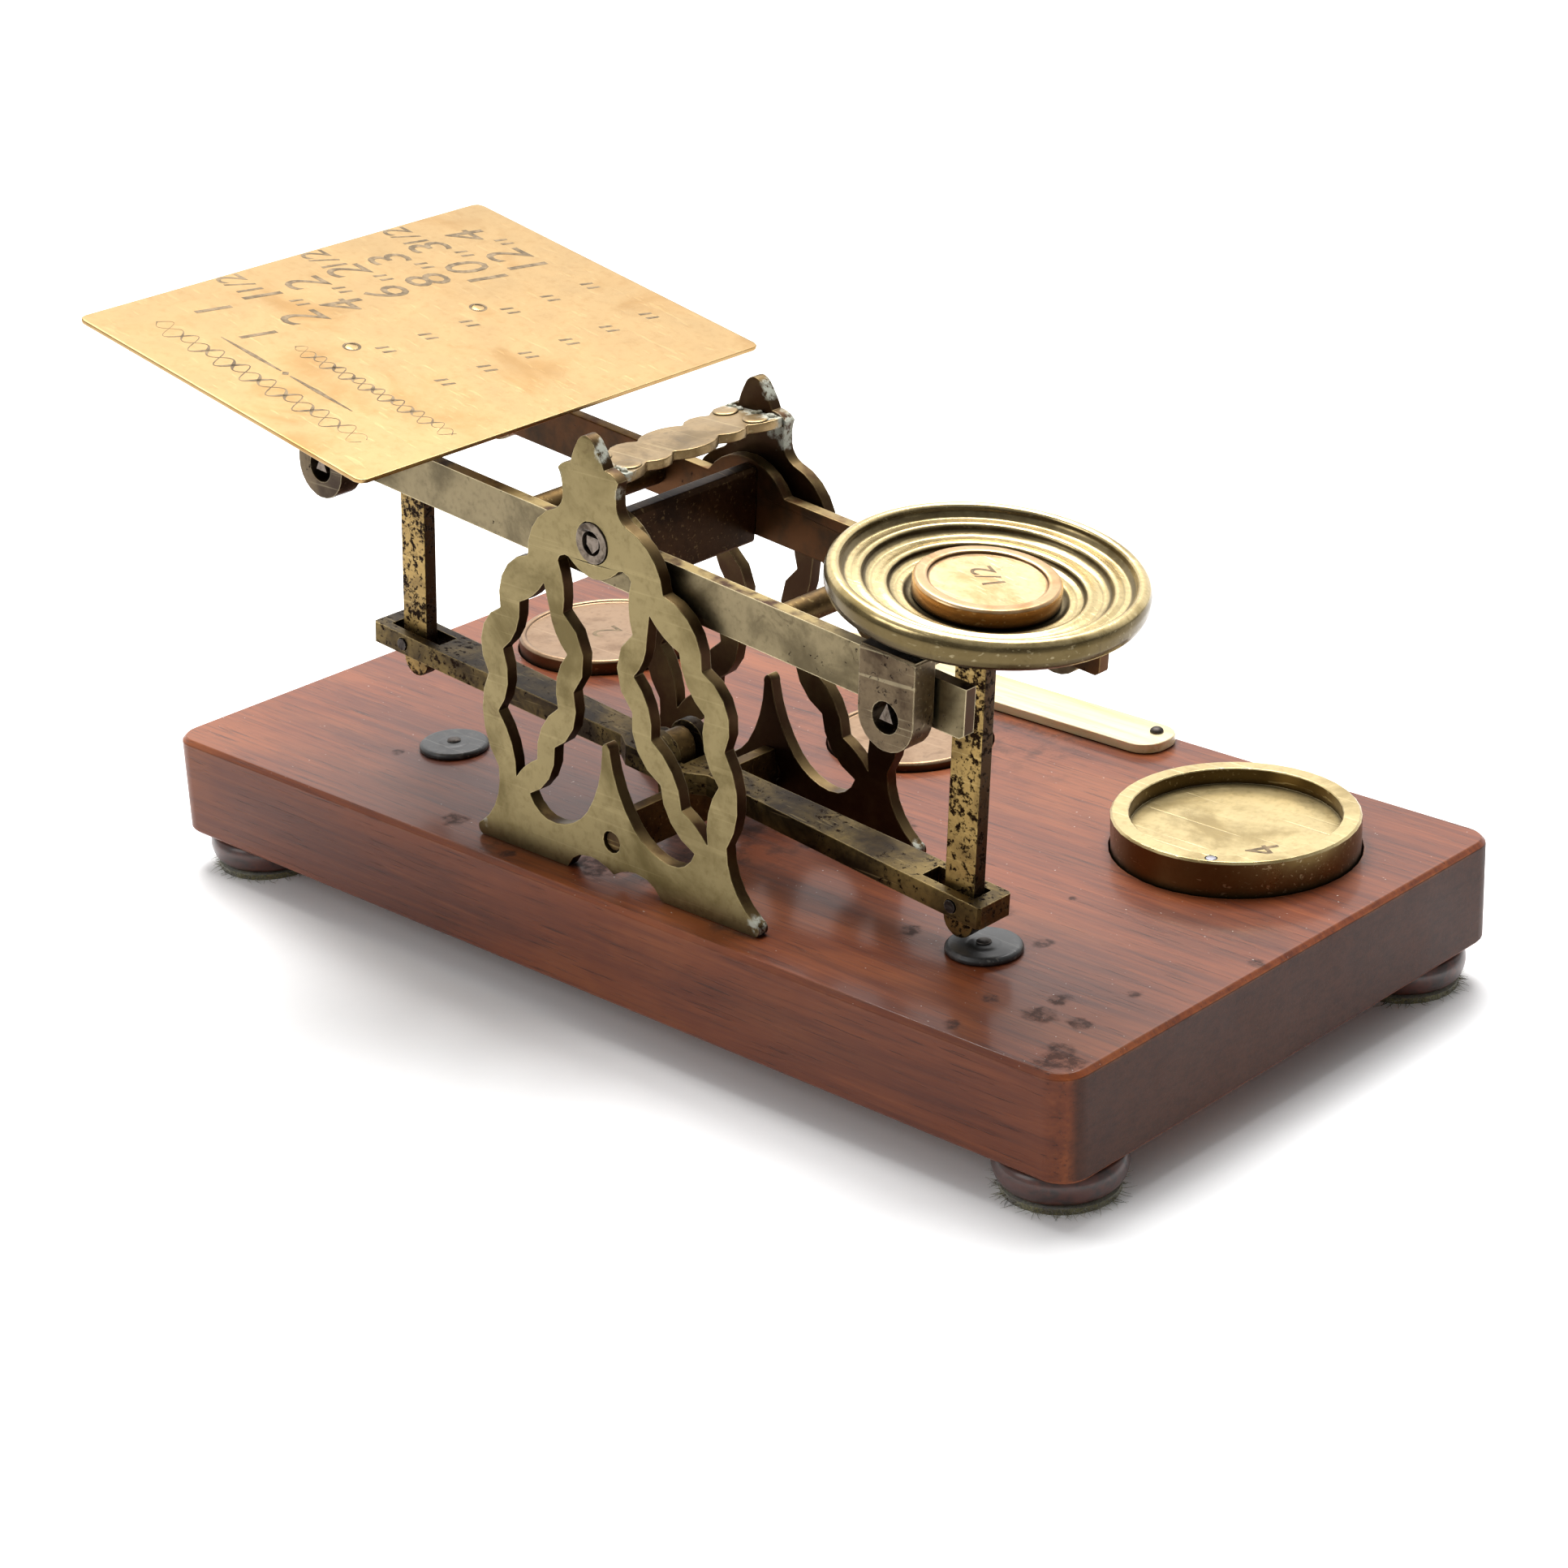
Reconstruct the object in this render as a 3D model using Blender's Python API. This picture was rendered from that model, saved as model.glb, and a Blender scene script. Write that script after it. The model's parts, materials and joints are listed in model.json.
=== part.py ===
"""A brass letter scale: a Roberval balance between two fretted side frames, on a board with loose weights.

Every shape is drawn in millimetres about the middle of the board's top face, X along the board,
Y to the back, and is written to the scene in metres with the ground at Z = 0 and the whole outline
centred on the origin.
"""

import math

import bpy
from mathutils import Matrix, Vector
from mathutils.geometry import tessellate_polygon

BOARD_LENGTH = 230.0
BOARD_DEPTH = 121.6
BOARD_HEIGHT = 20.0
BOARD_CORNER = 5.5
FOOT_RADIUS = 11.6
FOOT_HEIGHT = 7.0
FOOT_INSET_X = 11.9
FRONT_FOOT_INSET_Y = 12.5
REAR_FOOT_INSET_Y = 11.7
FELT_HEIGHT = 1.2
FELT_RADIUS = 10.3

FRAME_X = 5.0
MIDDLE_Y = -32.3
FRAME_OUTER = 21.8
FRAME_THICK = 2.4
BEARING_Z = 64.6
BEARING_BORE = 2.2
BEARING_RADIUS = 3.75

FULCRUM_Z = 62.6
ARM = 70.0
END_DROP = 2.5
BEAM_TILT = math.radians(5.8)
CARRIER_LEAN = math.radians(5.0)
LINK = 44.2
BAR_INNER = 15.9
BAR_OUTER = 18.3
BAR_END = 82.0

EAR_INNER = 19.0
EAR_OUTER = 23.9
EAR_HALF_WIDTH = 6.0
EAR_HOLE = 2.8
STEM_HALF_WIDTH = 3.3
STEM_HALF_DEPTH = 1.4
STAY_Y = -33.4

PLATE_LENGTH = 78.8
PLATE_WIDTH = 98.2
PLATE_THICK = 0.8
PLATE_EXTRA_TILT = math.radians(6.5)
PLATE_MIDDLE = (2.3, 18.2)
PAN_FLOOR = 11.4
PAN_EXTRA_TILT = math.radians(3.5)

STAY_PLATE_END = -78.4
STAY_PAN_END = 76.5
STAY_TOP = -0.4
STAY_BOTTOM = -4.6
END_WINDOW_HALF_DEPTH = 2.2
MIDDLE_WINDOW_HALF_DEPTH = 2.9

WEIGHT_ROW_Y = 28.0
GAP = 0.1
PIN_CLEARANCE = 0.08

GROUND = BOARD_HEIGHT + FOOT_HEIGHT + FELT_HEIGHT
FRONT_MOST = MIDDLE_Y - PLATE_WIDTH / 2
SHIFT_Y = -(FRONT_MOST + BOARD_DEPTH / 2) / 2

BRASS = (0.60, 0.47, 0.22)
DARK_BRASS = (0.36, 0.27, 0.13)
STEEL = (0.20, 0.19, 0.19)
MAHOGANY = (0.23, 0.07, 0.03)
DARK_WOOD = (0.10, 0.035, 0.02)


def clear_scene():
    for item in list(bpy.data.objects):
        bpy.data.objects.remove(item, do_unlink=True)


def to_scene(point):
    return Vector((point[0], point[1] + SHIFT_Y, point[2] + GROUND)) * 0.001


def material_of(name, colour, roughness, metallic):
    material = bpy.data.materials.new(name)
    material.use_nodes = True
    shader = material.node_tree.nodes["Principled BSDF"]
    shader.inputs["Base Color"].default_value = (*colour, 1.0)
    shader.inputs["Roughness"].default_value = roughness
    shader.inputs["Metallic"].default_value = metallic
    return material


def add(name, shape, look, place=None, pivot=(0.0, 0.0, 0.0)):
    """Makes one object from a (points, faces) shape, with its origin at the pivot."""
    points, faces = shape
    place = place or Matrix()
    origin = to_scene(pivot)
    moved = [to_scene(place @ Vector(point)) - origin for point in points]
    mesh = bpy.data.meshes.new(name)
    mesh.from_pydata(moved, [], faces)
    mesh.validate()
    mesh.polygons.foreach_set("use_smooth", [True] * len(mesh.polygons))
    mesh.set_sharp_from_angle(angle=math.radians(32))
    item = bpy.data.objects.new(name, mesh)
    item.location = origin
    if look:
        mesh.materials.append(material_of(name, *look))
    bpy.context.scene.collection.objects.link(item)
    return item


def combine(item, operation, shape, place=None):
    """Adds a Boolean to the item whose operand is a hidden helper of the given shape."""
    number = len(item.modifiers) + 1
    helper = add(f"{item.name}_helper_{number}", shape, None, place)
    helper.hide_render = True
    helper.display_type = "WIRE"
    modifier = item.modifiers.new(f"shape_{number}", "BOOLEAN")
    modifier.operation = operation
    modifier.solver = "EXACT"
    modifier.object = helper


def signed_area(loop):
    following = loop[1:] + loop[:1]
    return sum(a[0] * b[1] - b[0] * a[1] for a, b in zip(loop, following)) / 2


def prism(loops, low, high, axis):
    """Extrudes an outline with holes along X, Y or Z; the outline is in the two other axes."""
    outer = loops[0] if signed_area(loops[0]) > 0 else loops[0][::-1]
    holes = [loop[::-1] if signed_area(loop) > 0 else loop for loop in loops[1:]]
    rings = [outer] + holes
    flat = [point for ring in rings for point in ring]
    count = len(flat)
    faces = []
    for a, b, c in tessellate_polygon([[Vector((u, v, 0)) for u, v in ring] for ring in rings]):
        if signed_area([flat[a], flat[b], flat[c]]) < 0:
            b, c = c, b
        faces.append((a, c, b))
        faces.append((a + count, b + count, c + count))
    start = 0
    for ring in rings:
        for i in range(len(ring)):
            a = start + i
            b = start + (i + 1) % len(ring)
            faces.append((a, b, b + count, a + count))
        start += len(ring)
    if axis == "y":
        faces = [face[::-1] for face in faces]
    orders = {
        "x": lambda u, v, t: (t, u, v),
        "y": lambda u, v, t: (u, t, v),
        "z": lambda u, v, t: (u, v, t),
    }
    order = orders[axis]
    points = [order(u, v, low) for u, v in flat] + [order(u, v, high) for u, v in flat]
    return points, faces


def stack(layers):
    """Skins a pile of (outline, height) layers with equal numbers of points, capped at both ends."""
    count = len(layers[0][0])
    points = [(u, v, height) for outline, height in layers for u, v in outline]
    faces = [tuple(range(count))[::-1]]
    for level in range(len(layers) - 1):
        for i in range(count):
            a = level * count + i
            b = level * count + (i + 1) % count
            faces.append((a, b, b + count, a + count))
    top = (len(layers) - 1) * count
    faces.append(tuple(range(top, top + count)))
    return points, faces


def lathe(profile, segments):
    """Turns a profile of (radius, height) about Z, listed bottom to top round the outside.

    A profile that starts and ends on the axis makes a solid; any other is closed into a ring.
    """
    points = []
    rows = []
    for radius, height in profile:
        if radius < 1e-6:
            rows.append([len(points)] * segments)
            points.append((0.0, 0.0, height))
            continue
        rows.append(list(range(len(points), len(points) + segments)))
        for i in range(segments):
            angle = 2 * math.pi * i / segments
            points.append((radius * math.cos(angle), radius * math.sin(angle), height))
    solid = profile[0][0] < 1e-6 and profile[-1][0] < 1e-6
    pairs = list(zip(rows, rows[1:])) + ([] if solid else [(rows[-1], rows[0])])
    faces = []
    for below, above in pairs:
        for i in range(segments):
            j = (i + 1) % segments
            face = (below[i], below[j], above[j], above[i])
            face = tuple(dict.fromkeys(face))
            if len(face) > 2:
                faces.append(face)
    return points, faces


def box(low, high):
    outline = [(low[0], low[1]), (high[0], low[1]), (high[0], high[1]), (low[0], high[1])]
    return prism([outline], low[2], high[2], "z")


def disc(radius, count, middle=(0.0, 0.0)):
    turns = [2 * math.pi * i / count for i in range(count)]
    return [(middle[0] + radius * math.cos(t), middle[1] + radius * math.sin(t)) for t in turns]


def rod_y(radius, low, high, middle, count=16):
    return prism([disc(radius, count, middle)], low, high, "y")


def arc(start, through, end, steps):
    """Points on the circle through three points, from start up to but not including end."""
    (ax, ay), (bx, by), (cx, cy) = start, through, end
    d = 2 * (ax * (by - cy) + bx * (cy - ay) + cx * (ay - by))
    ux = ((ax**2 + ay**2) * (by - cy) + (bx**2 + by**2) * (cy - ay) + (cx**2 + cy**2) * (ay - by)) / d
    uy = ((ax**2 + ay**2) * (cx - bx) + (bx**2 + by**2) * (ax - cx) + (cx**2 + cy**2) * (bx - ax)) / d
    radius = math.hypot(ax - ux, ay - uy)
    first = math.atan2(ay - uy, ax - ux)
    middle = (math.atan2(by - uy, bx - ux) - first) % (2 * math.pi)
    last = (math.atan2(cy - uy, cx - ux) - first) % (2 * math.pi)
    if middle > last:
        last -= 2 * math.pi
    turns = [first + last * i / steps for i in range(steps)]
    return [(ux + radius * math.cos(t), uy + radius * math.sin(t)) for t in turns]


def scallops(knots, steps):
    """A run of arcs: knots alternate corner, bulge, corner, bulge ... and end on a corner."""
    points = []
    for i in range(0, len(knots) - 2, 2):
        points += arc(knots[i], knots[i + 1], knots[i + 2], steps)
    return points + [knots[-1]]


def mirrored(half, middle_x):
    """Closes a right-hand half outline that starts and ends on the middle line."""
    left = [(-u, v) for u, v in half[::-1] if abs(u) > 1e-6]
    return [(middle_x + u, v) for u, v in half + left]


def rounded_rectangle(half_x, half_y, radius, steps, middle=(0.0, 0.0)):
    points = []
    for quarter, (sx, sy) in enumerate([(1, 1), (-1, 1), (-1, -1), (1, -1)]):
        for i in range(steps + 1):
            angle = math.pi / 2 * (quarter + i / steps)
            points.append(
                (
                    middle[0] + sx * (half_x - radius) + radius * math.cos(angle),
                    middle[1] + sy * (half_y - radius) + radius * math.sin(angle),
                )
            )
    return points


def grown(outline, factor):
    """The outline scaled about its middle, for a slot round a piece of that outline."""
    mx = sum(u for u, _ in outline) / len(outline)
    my = sum(v for _, v in outline) / len(outline)
    return [(mx + (u - mx) * factor, my + (v - my) * factor) for u, v in outline]


UP = Vector((math.sin(CARRIER_LEAN), 0.0, math.cos(CARRIER_LEAN)))
FULCRUM = Vector((FRAME_X, MIDDLE_Y, FULCRUM_Z))
BEAM_TURN = Matrix.Rotation(BEAM_TILT, 4, "Y")
BEAM_PLACE = Matrix.Translation(FULCRUM) @ BEAM_TURN
STAY_SHIFT = Vector((0.0, STAY_Y - MIDDLE_Y, 0.0))
STAY_PIVOT = FULCRUM - LINK * UP + STAY_SHIFT
STAY_PLACE = Matrix.Translation(STAY_PIVOT) @ BEAM_TURN


def end_pivot(side):
    return BEAM_PLACE @ Vector((side * ARM, 0.0, -END_DROP))


def carrier_place(side):
    return Matrix.Translation(end_pivot(side)) @ Matrix.Rotation(CARRIER_LEAN, 4, "Y")


def plate_place():
    middle = Matrix.Translation((PLATE_MIDDLE[0], 0.0, PLATE_MIDDLE[1]))
    return carrier_place(-1) @ middle @ Matrix.Rotation(PLATE_EXTRA_TILT, 4, "Y")


def pan_place():
    floor = Matrix.Translation((0.0, 0.0, PAN_FLOOR))
    return carrier_place(1) @ floor @ Matrix.Rotation(PAN_EXTRA_TILT, 4, "Y")


# The frame's outline, as half widths from its middle line against height above the board.
FRAME_EDGE = [
    (35.2, 0.1), (36.0, 1.1), (35.0, 2.7), (31.0, 7.0), (29.1, 15.2), (32.3, 25.2), (29.8, 33.4),
    (31.3, 38.6), (25.3, 47.0), (23.9, 54.0), (16.9, 58.8), (14.7, 65.2), (8.8, 69.2), (7.0, 71.0),
    (6.7, 73.4), (6.9, 75.4), (7.5, 76.9), (6.3, 77.9), (4.2, 78.5), (3.4, 80.4), (2.3, 82.3),
    (1.3, 83.5), (0.0, 84.0),
]
FRAME_NOTCH = [(0.0, 1.8), (2.6, 3.1), (6.0, 3.7), (9.8, 2.6), (12.0, 0.1)]
SIDE_OPENING = [
    (24.4, 14.4), (25.3, 21.8), (27.9, 26.4), (24.7, 33.0), (25.4, 39.0), (21.0, 44.4),
    (20.0, 49.2), (15.8, 51.6), (13.2, 54.3), (12.7, 52.0), (12.2, 49.6), (11.3, 46.0), (8.4, 42.0),
    (11.6, 36.8), (11.8, 30.9), (16.3, 26.6), (18.4, 19.4), (21.3, 17.6), (24.4, 14.4),
]
CENTRE_OPENING = [
    (0.0, 27.2), (0.8, 26.6), (1.0, 25.4), (3.0, 17.6), (6.0, 12.4), (9.6, 9.4), (14.5, 7.9),
    (18.4, 8.8), (21.0, 11.9), (15.3, 16.5), (13.4, 22.9), (7.5, 29.4), (7.4, 35.0), (4.2, 42.0),
    (8.7, 49.8), (8.1, 54.8), (9.1, 59.6), (7.5, 60.9), (5.4, 60.0), (2.8, 58.5), (0.0, 57.9),
]


def frame_loops():
    outer = mirrored(scallops(FRAME_NOTCH, 3) + scallops(FRAME_EDGE, 5), FRAME_X)
    centre = mirrored(scallops(CENTRE_OPENING, 4), FRAME_X)
    right = scallops(SIDE_OPENING, 4)[:-1]
    sides = [[(FRAME_X + sign * u, v) for u, v in right] for sign in (-1, 1)]
    bearing = disc(BEARING_RADIUS + GAP, 24, (FRAME_X, BEARING_Z))
    screw = disc(2.1, 12, (FRAME_X, 8.2))
    return [outer, centre, *sides, bearing, screw]


def build_board():
    half_x = BOARD_LENGTH / 2
    half_y = BOARD_DEPTH / 2
    layers = []
    for inset, height in ((0.5, -BOARD_HEIGHT), (0.0, -BOARD_HEIGHT + 0.6), (0.0, -0.9), (0.9, 0.0)):
        layers.append((rounded_rectangle(half_x - inset, half_y - inset, BOARD_CORNER - inset, 6), height))
    board = add("wooden_base", stack(layers), (MAHOGANY, 0.35, 0.0))
    for middle_x, radius, depth in ((-82.0, 18.7, 3.4), (2.5, 16.3, 2.5), (81.0, 22.8, 4.1)):
        cutter = lathe([(0.0, -depth), (radius, -depth), (radius, 4.0), (0.0, 4.0)], 40)
        combine(board, "DIFFERENCE", cutter, Matrix.Translation((middle_x, WEIGHT_ROW_Y, 0.0)))


def build_feet():
    low = -BOARD_HEIGHT - FOOT_HEIGHT
    top = -BOARD_HEIGHT - GAP
    bun = [(0.0, low), (9.8, low), (11.1, low + 1.6), (FOOT_RADIUS, low + 3.6), (11.1, low + 5.6)]
    bun += [(9.4, top), (0.0, top)]
    felt = [(0.0, low - FELT_HEIGHT), (FELT_RADIUS, low - FELT_HEIGHT)]
    felt += [(FELT_RADIUS, low - GAP), (0.0, low - GAP)]
    for depth, sy in (("front", -1), ("rear", 1)):
        for side, sx in (("left", -1), ("right", 1)):
            x = sx * (BOARD_LENGTH / 2 - FOOT_INSET_X)
            inset = FRONT_FOOT_INSET_Y if sy < 0 else REAR_FOOT_INSET_Y
            y = sy * (BOARD_DEPTH / 2 - inset)
            place = Matrix.Translation((x, y, 0.0))
            add(f"bun_foot_{depth}_{side}", lathe(bun, 24), (DARK_WOOD, 0.45, 0.0), place)
            add(f"felt_pad_{depth}_{side}", lathe(felt, 24), ((0.07, 0.09, 0.03), 1.0, 0.0), place)


def build_frames():
    loops = frame_loops()
    for name, sign in (("front", -1), ("rear", 1)):
        near = MIDDLE_Y + sign * (FRAME_OUTER - FRAME_THICK)
        far = MIDDLE_Y + sign * FRAME_OUTER
        low, high = sorted((near, far))
        add(f"{name}_frame", prism(loops, low, high, "y"), (BRASS, 0.4, 1.0))
        middle = (FRAME_X, BEARING_Z)
        ring = [disc(BEARING_RADIUS, 24, middle), disc(BEARING_BORE, 24, middle)]
        low, high = sorted((near, far + sign * 0.3))
        add(f"{name}_bearing", prism(ring, low, high, "y"), (STEEL, 0.5, 0.9))
        low, high = sorted((near + sign * GAP, far - sign * 0.6))
        add(f"cross_bar_screw_{name}", rod_y(1.95, low, high, (FRAME_X, 8.2), 12), (DARK_BRASS, 0.5, 1.0))


def build_top_brace():
    reach = FRAME_OUTER - FRAME_THICK - GAP
    side = [(6.6, 0.0), (6.2, 2.8), (4.5, 5.6), (6.2, 9.0), (4.8, 12.4), (6.4, 15.4), (6.8, reach)]
    quarter = scallops(side, 4)
    half = quarter + [(-u, v) for u, v in quarter[::-1]]
    whole = half + [(u, -v) for u, v in half[::-1] if v > 1e-6]
    outline = [(FRAME_X + u, MIDDLE_Y + v) for u, v in whole]
    add("top_brace", prism([outline], 76.0, 77.8, "z"), (BRASS, 0.4, 1.0))
    for name, sy in (("front", -1), ("rear", 1)):
        for side_name, sx in (("left", -1), ("right", 1)):
            place = Matrix.Translation((FRAME_X + sx * 3.7, MIDDLE_Y + sy * 15.6, 0.0))
            head = [(0.0, 77.9), (2.2, 77.9), (2.1, 78.4), (1.5, 78.9), (0.0, 79.2)]
            add(f"brace_rivet_{name}_{side_name}", lathe(head, 14), (DARK_BRASS, 0.5, 1.0), place)


def build_lower_cross_bar():
    reach = FRAME_OUTER - FRAME_THICK - GAP
    plate = box((FRAME_X - 1.3, MIDDLE_Y - reach, 4.8), (FRAME_X + 1.3, MIDDLE_Y + reach, 12.9))
    bar = add("lower_cross_bar", plate, (DARK_BRASS, 0.5, 1.0))
    px, pz = STAY_PIVOT.x, STAY_PIVOT.z
    crown = arc((px + 3.0, pz + 0.5), (px, pz + 3.6), (px - 3.0, pz + 0.5), 6) + [(px - 3.0, pz + 0.5)]
    lug = prism([[(px - 3.0, 7.0), (px + 3.0, 7.0)] + crown], STAY_Y - 2.2, STAY_Y + 2.2, "y")
    combine(bar, "UNION", lug)
    combine(bar, "DIFFERENCE", rod_y(1.5 + PIN_CLEARANCE, STAY_Y - 3.0, STAY_Y + 3.0, (px, pz)))
    pin = rod_y(1.5, STAY_Y - 5.5, STAY_Y + 5.5, (px, pz))
    add("stay_pivot_pin", pin, (STEEL, 0.5, 0.9))


def build_plaque():
    outline = rounded_rectangle(44.5, 5.6, 4.8, 5, (0.0, 54.8))
    add("bone_plaque", prism([outline], GAP, 2.0, "z"), ((0.86, 0.80, 0.62), 0.4, 0.0))
    for name, sx in (("left", -1), ("right", 1)):
        head = [(0.0, 2.1), (1.35, 2.1), (1.2, 2.6), (0.7, 3.0), (0.0, 3.1)]
        place = Matrix.Translation((sx * 40.5, 56.6, 0.0))
        add(f"plaque_pin_{name}", lathe(head, 12), (STEEL, 0.5, 0.8), place)


def build_stops():
    for name, x, y in (("pan", 73.7, -32.7), ("plate", -65.1, -29.8)):
        place = Matrix.Translation((x, y, 0.0))
        washer = [(0.0, GAP), (6.85, GAP), (6.85, 0.9), (6.3, 1.4), (0.0, 1.5)]
        add(f"stop_disc_{name}_side", lathe(washer, 28), ((0.05, 0.05, 0.05), 0.7, 0.0), place)
        head = [(0.0, 1.6), (1.4, 1.6), (1.0, 1.9), (0.0, 2.0)]
        add(f"stop_nail_{name}_side", lathe(head, 12), (STEEL, 0.5, 0.8), place)


def knife_outlines():
    fulcrum = [(0.0, 0.0), (1.5, 1.5), (1.5, 3.2), (-1.5, 3.2), (-1.5, 1.5)]
    end = [(0.0, -END_DROP), (-1.5, -END_DROP - 3.3), (1.5, -END_DROP - 3.3)]
    plate_end = [(u - ARM, v) for u, v in end]
    pan_end = [(u + ARM, v) for u, v in end]
    return {"fulcrum": fulcrum, "plate_end": plate_end, "pan_end": pan_end}


def build_beam():
    hump = arc((9.4, 2.4), (0.0, 7.6), (-9.4, 2.4), 10) + [(-9.4, 2.4)]
    outline = [(-BAR_END, -5.9), (-BAR_END + 0.9, -6.6), (BAR_END - 0.9, -6.6), (BAR_END, -5.9)]
    outline += [(BAR_END, 2.4)] + hump + [(-BAR_END, 2.4)]
    knives = knife_outlines()
    slots = [grown(knife, 1.12) for knife in knives.values()]
    pivot = tuple(FULCRUM)
    for name, sign in (("front", -1), ("rear", 1)):
        low, high = sorted((sign * BAR_INNER, sign * BAR_OUTER))
        bar = prism([outline, *slots], low, high, "y")
        add(f"beam_{name}_bar", bar, (BRASS, 0.4, 1.0), BEAM_PLACE, pivot)
        for knife, shape in knives.items():
            reach = FRAME_OUTER + 0.1 if knife == "fulcrum" else EAR_OUTER - 0.3
            low, high = sorted((sign * BAR_INNER, sign * reach))
            blade = prism([shape], low, high, "y")
            add(f"{knife}_knife_{name}", blade, (STEEL, 0.35, 1.0), BEAM_PLACE, pivot)
    reach = BAR_INNER - GAP
    crown = [(2.8, -7.4), (2.8, 5.8), (2.2, 6.6), (-0.2, 6.6), (-0.8, 5.8), (-0.8, -7.4), (-0.4, -8.0)]
    plate = prism([crown + [(2.4, -8.0)]], -reach, reach, "y")
    add("beam_centre_plate", plate, (DARK_BRASS, 0.5, 1.0), BEAM_PLACE, pivot)
    for name, x, radius in (("pan_side", 37.5, 2.4), ("plate_side", -23.0, 2.8)):
        rod = rod_y(radius, -reach, reach, (x, -1.8), 18)
        add(f"beam_cross_rod_{name}", rod, (DARK_BRASS, 0.45, 1.0), BEAM_PLACE, pivot)


def stay_outline():
    """The plan of the stay: narrow rails that swell round the middle boss and square ends."""
    right = [(STAY_PAN_END, 3.7), (STAY_PAN_END - 0.6, 4.25), (57.0, 4.1), (11.0, 3.1), (7.6, 5.25)]
    left = [(-7.6, 5.25), (-11.0, 3.1), (-57.0, 4.1), (STAY_PLATE_END + 0.6, 4.25), (STAY_PLATE_END, 3.7)]
    upper = right + left
    return upper + [(u, -v) for u, v in upper[::-1]]


def build_stay():
    """A bar seen from the side, with its boss and pin holes, cut to the plan with the three windows."""
    reach = math.sqrt(4.4**2 - STAY_TOP**2)
    side = [(STAY_PLATE_END - 1.0, STAY_BOTTOM), (STAY_PAN_END + 1.0, STAY_BOTTOM)]
    side += [(STAY_PAN_END + 1.0, STAY_TOP)]
    side += arc((reach, STAY_TOP), (0.0, 4.4), (-reach, STAY_TOP), 12)
    side += [(-reach, STAY_TOP), (STAY_PLATE_END - 1.0, STAY_TOP)]
    holes = [disc(1.5 + PIN_CLEARANCE, 16)]
    holes += [disc(1.2 + PIN_CLEARANCE, 16, (sign * ARM, -END_DROP)) for sign in (-1, 1)]
    bar = prism([side, *holes], -6.0, 6.0, "y")
    stay = add("stay_bar", bar, (DARK_BRASS, 0.5, 1.0), STAY_PLACE, tuple(STAY_PIVOT))
    windows = []
    for low, high, depth in (
        (STAY_PLATE_END + 3.2, -61.6, END_WINDOW_HALF_DEPTH),
        (-5.0, 5.0, MIDDLE_WINDOW_HALF_DEPTH),
        (61.8, STAY_PAN_END - 3.0, END_WINDOW_HALF_DEPTH),
    ):
        windows.append([(low, -depth), (high, -depth), (high, depth), (low, depth)])
    combine(stay, "INTERSECT", prism([stay_outline(), *windows], -6.0, 6.0, "z"), STAY_PLACE)
    for name, sign in (("plate", -1), ("pan", 1)):
        middle = (sign * ARM, -END_DROP)
        pin = rod_y(1.2, -4.5, 4.5, middle)
        pivot = end_pivot(sign) - LINK * UP + STAY_SHIFT
        add(f"stay_pin_{name}_side", pin, (STEEL, 0.5, 0.9), STAY_PLACE, tuple(pivot))


def build_yoke(name, side, top):
    """The inverted U whose two ears hang on the beam's end knives."""
    place = carrier_place(side)
    ear = arc((-EAR_HALF_WIDTH, -2.5), (0.0, -8.5), (EAR_HALF_WIDTH, -2.5), 12) + [(EAR_HALF_WIDTH, -2.5)]
    ear += [(EAR_HALF_WIDTH, top - 0.4), (-EAR_HALF_WIDTH, top - 0.4)]
    loops = [ear, disc(EAR_HOLE, 20, (0.0, -2.5))]
    bridge = box((-5.85, -23.7, top - 1.8), (5.85, 23.7, top))
    yoke = add(name, bridge, (DARK_BRASS, 0.45, 1.0), place, tuple(end_pivot(side)))
    for sign in (-1, 1):
        low, high = sorted((sign * EAR_INNER, sign * EAR_OUTER))
        combine(yoke, "UNION", prism(loops, low, high, "y"), place)


def build_stem(name, side, top, offset):
    """The upright that hangs from the yoke, passes through the stay's window and lands on a stop."""
    place = Matrix.Translation(STAY_SHIFT) @ carrier_place(side)
    low = offset - STEM_HALF_WIDTH
    high = offset + STEM_HALF_WIDTH
    foot = -LINK - 3.95
    sole = arc((high, foot), (offset, foot - STEM_HALF_WIDTH), (low, foot), 10) + [(low, foot)]
    outline = [(high, top)] + sole + [(low, top)]
    hole = disc(1.2 + PIN_CLEARANCE, 16, (0.0, -LINK))
    shape = prism([outline, hole], -STEM_HALF_DEPTH, STEM_HALF_DEPTH, "y")
    add(name, shape, (BRASS, 0.5, 1.0), place, tuple(end_pivot(side)))


def build_plate_carrier():
    top = 17.1
    build_yoke("letter_plate_yoke", -1, top)
    build_stem("letter_plate_stem", -1, top - 1.8 - GAP, 0.6)
    pivot = tuple(end_pivot(-1))
    half_x = PLATE_LENGTH / 2
    outline = rounded_rectangle(half_x, PLATE_WIDTH / 2, 1.6, 2)
    holes = [disc(1.35, 16, (-PLATE_MIDDLE[0], sy * 15.5)) for sy in (-1, 1)]
    shape = prism([outline, *holes], -PLATE_THICK / 2, PLATE_THICK / 2, "z")
    add("letter_plate", shape, (BRASS, 0.3, 1.0), plate_place(), pivot)
    flush = PLATE_THICK / 2 - 0.02
    rivet = [(0.0, -0.5), (1.25, -0.5), (1.25, flush - 0.05), (1.2, flush), (0.0, flush)]
    for name, sy in (("front", -1), ("rear", 1)):
        place = plate_place() @ Matrix.Translation((-PLATE_MIDDLE[0], sy * 15.5, 0.0))
        add(f"letter_plate_rivet_{name}", lathe(rivet, 16), (BRASS, 0.35, 1.0), place, pivot)


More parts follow.
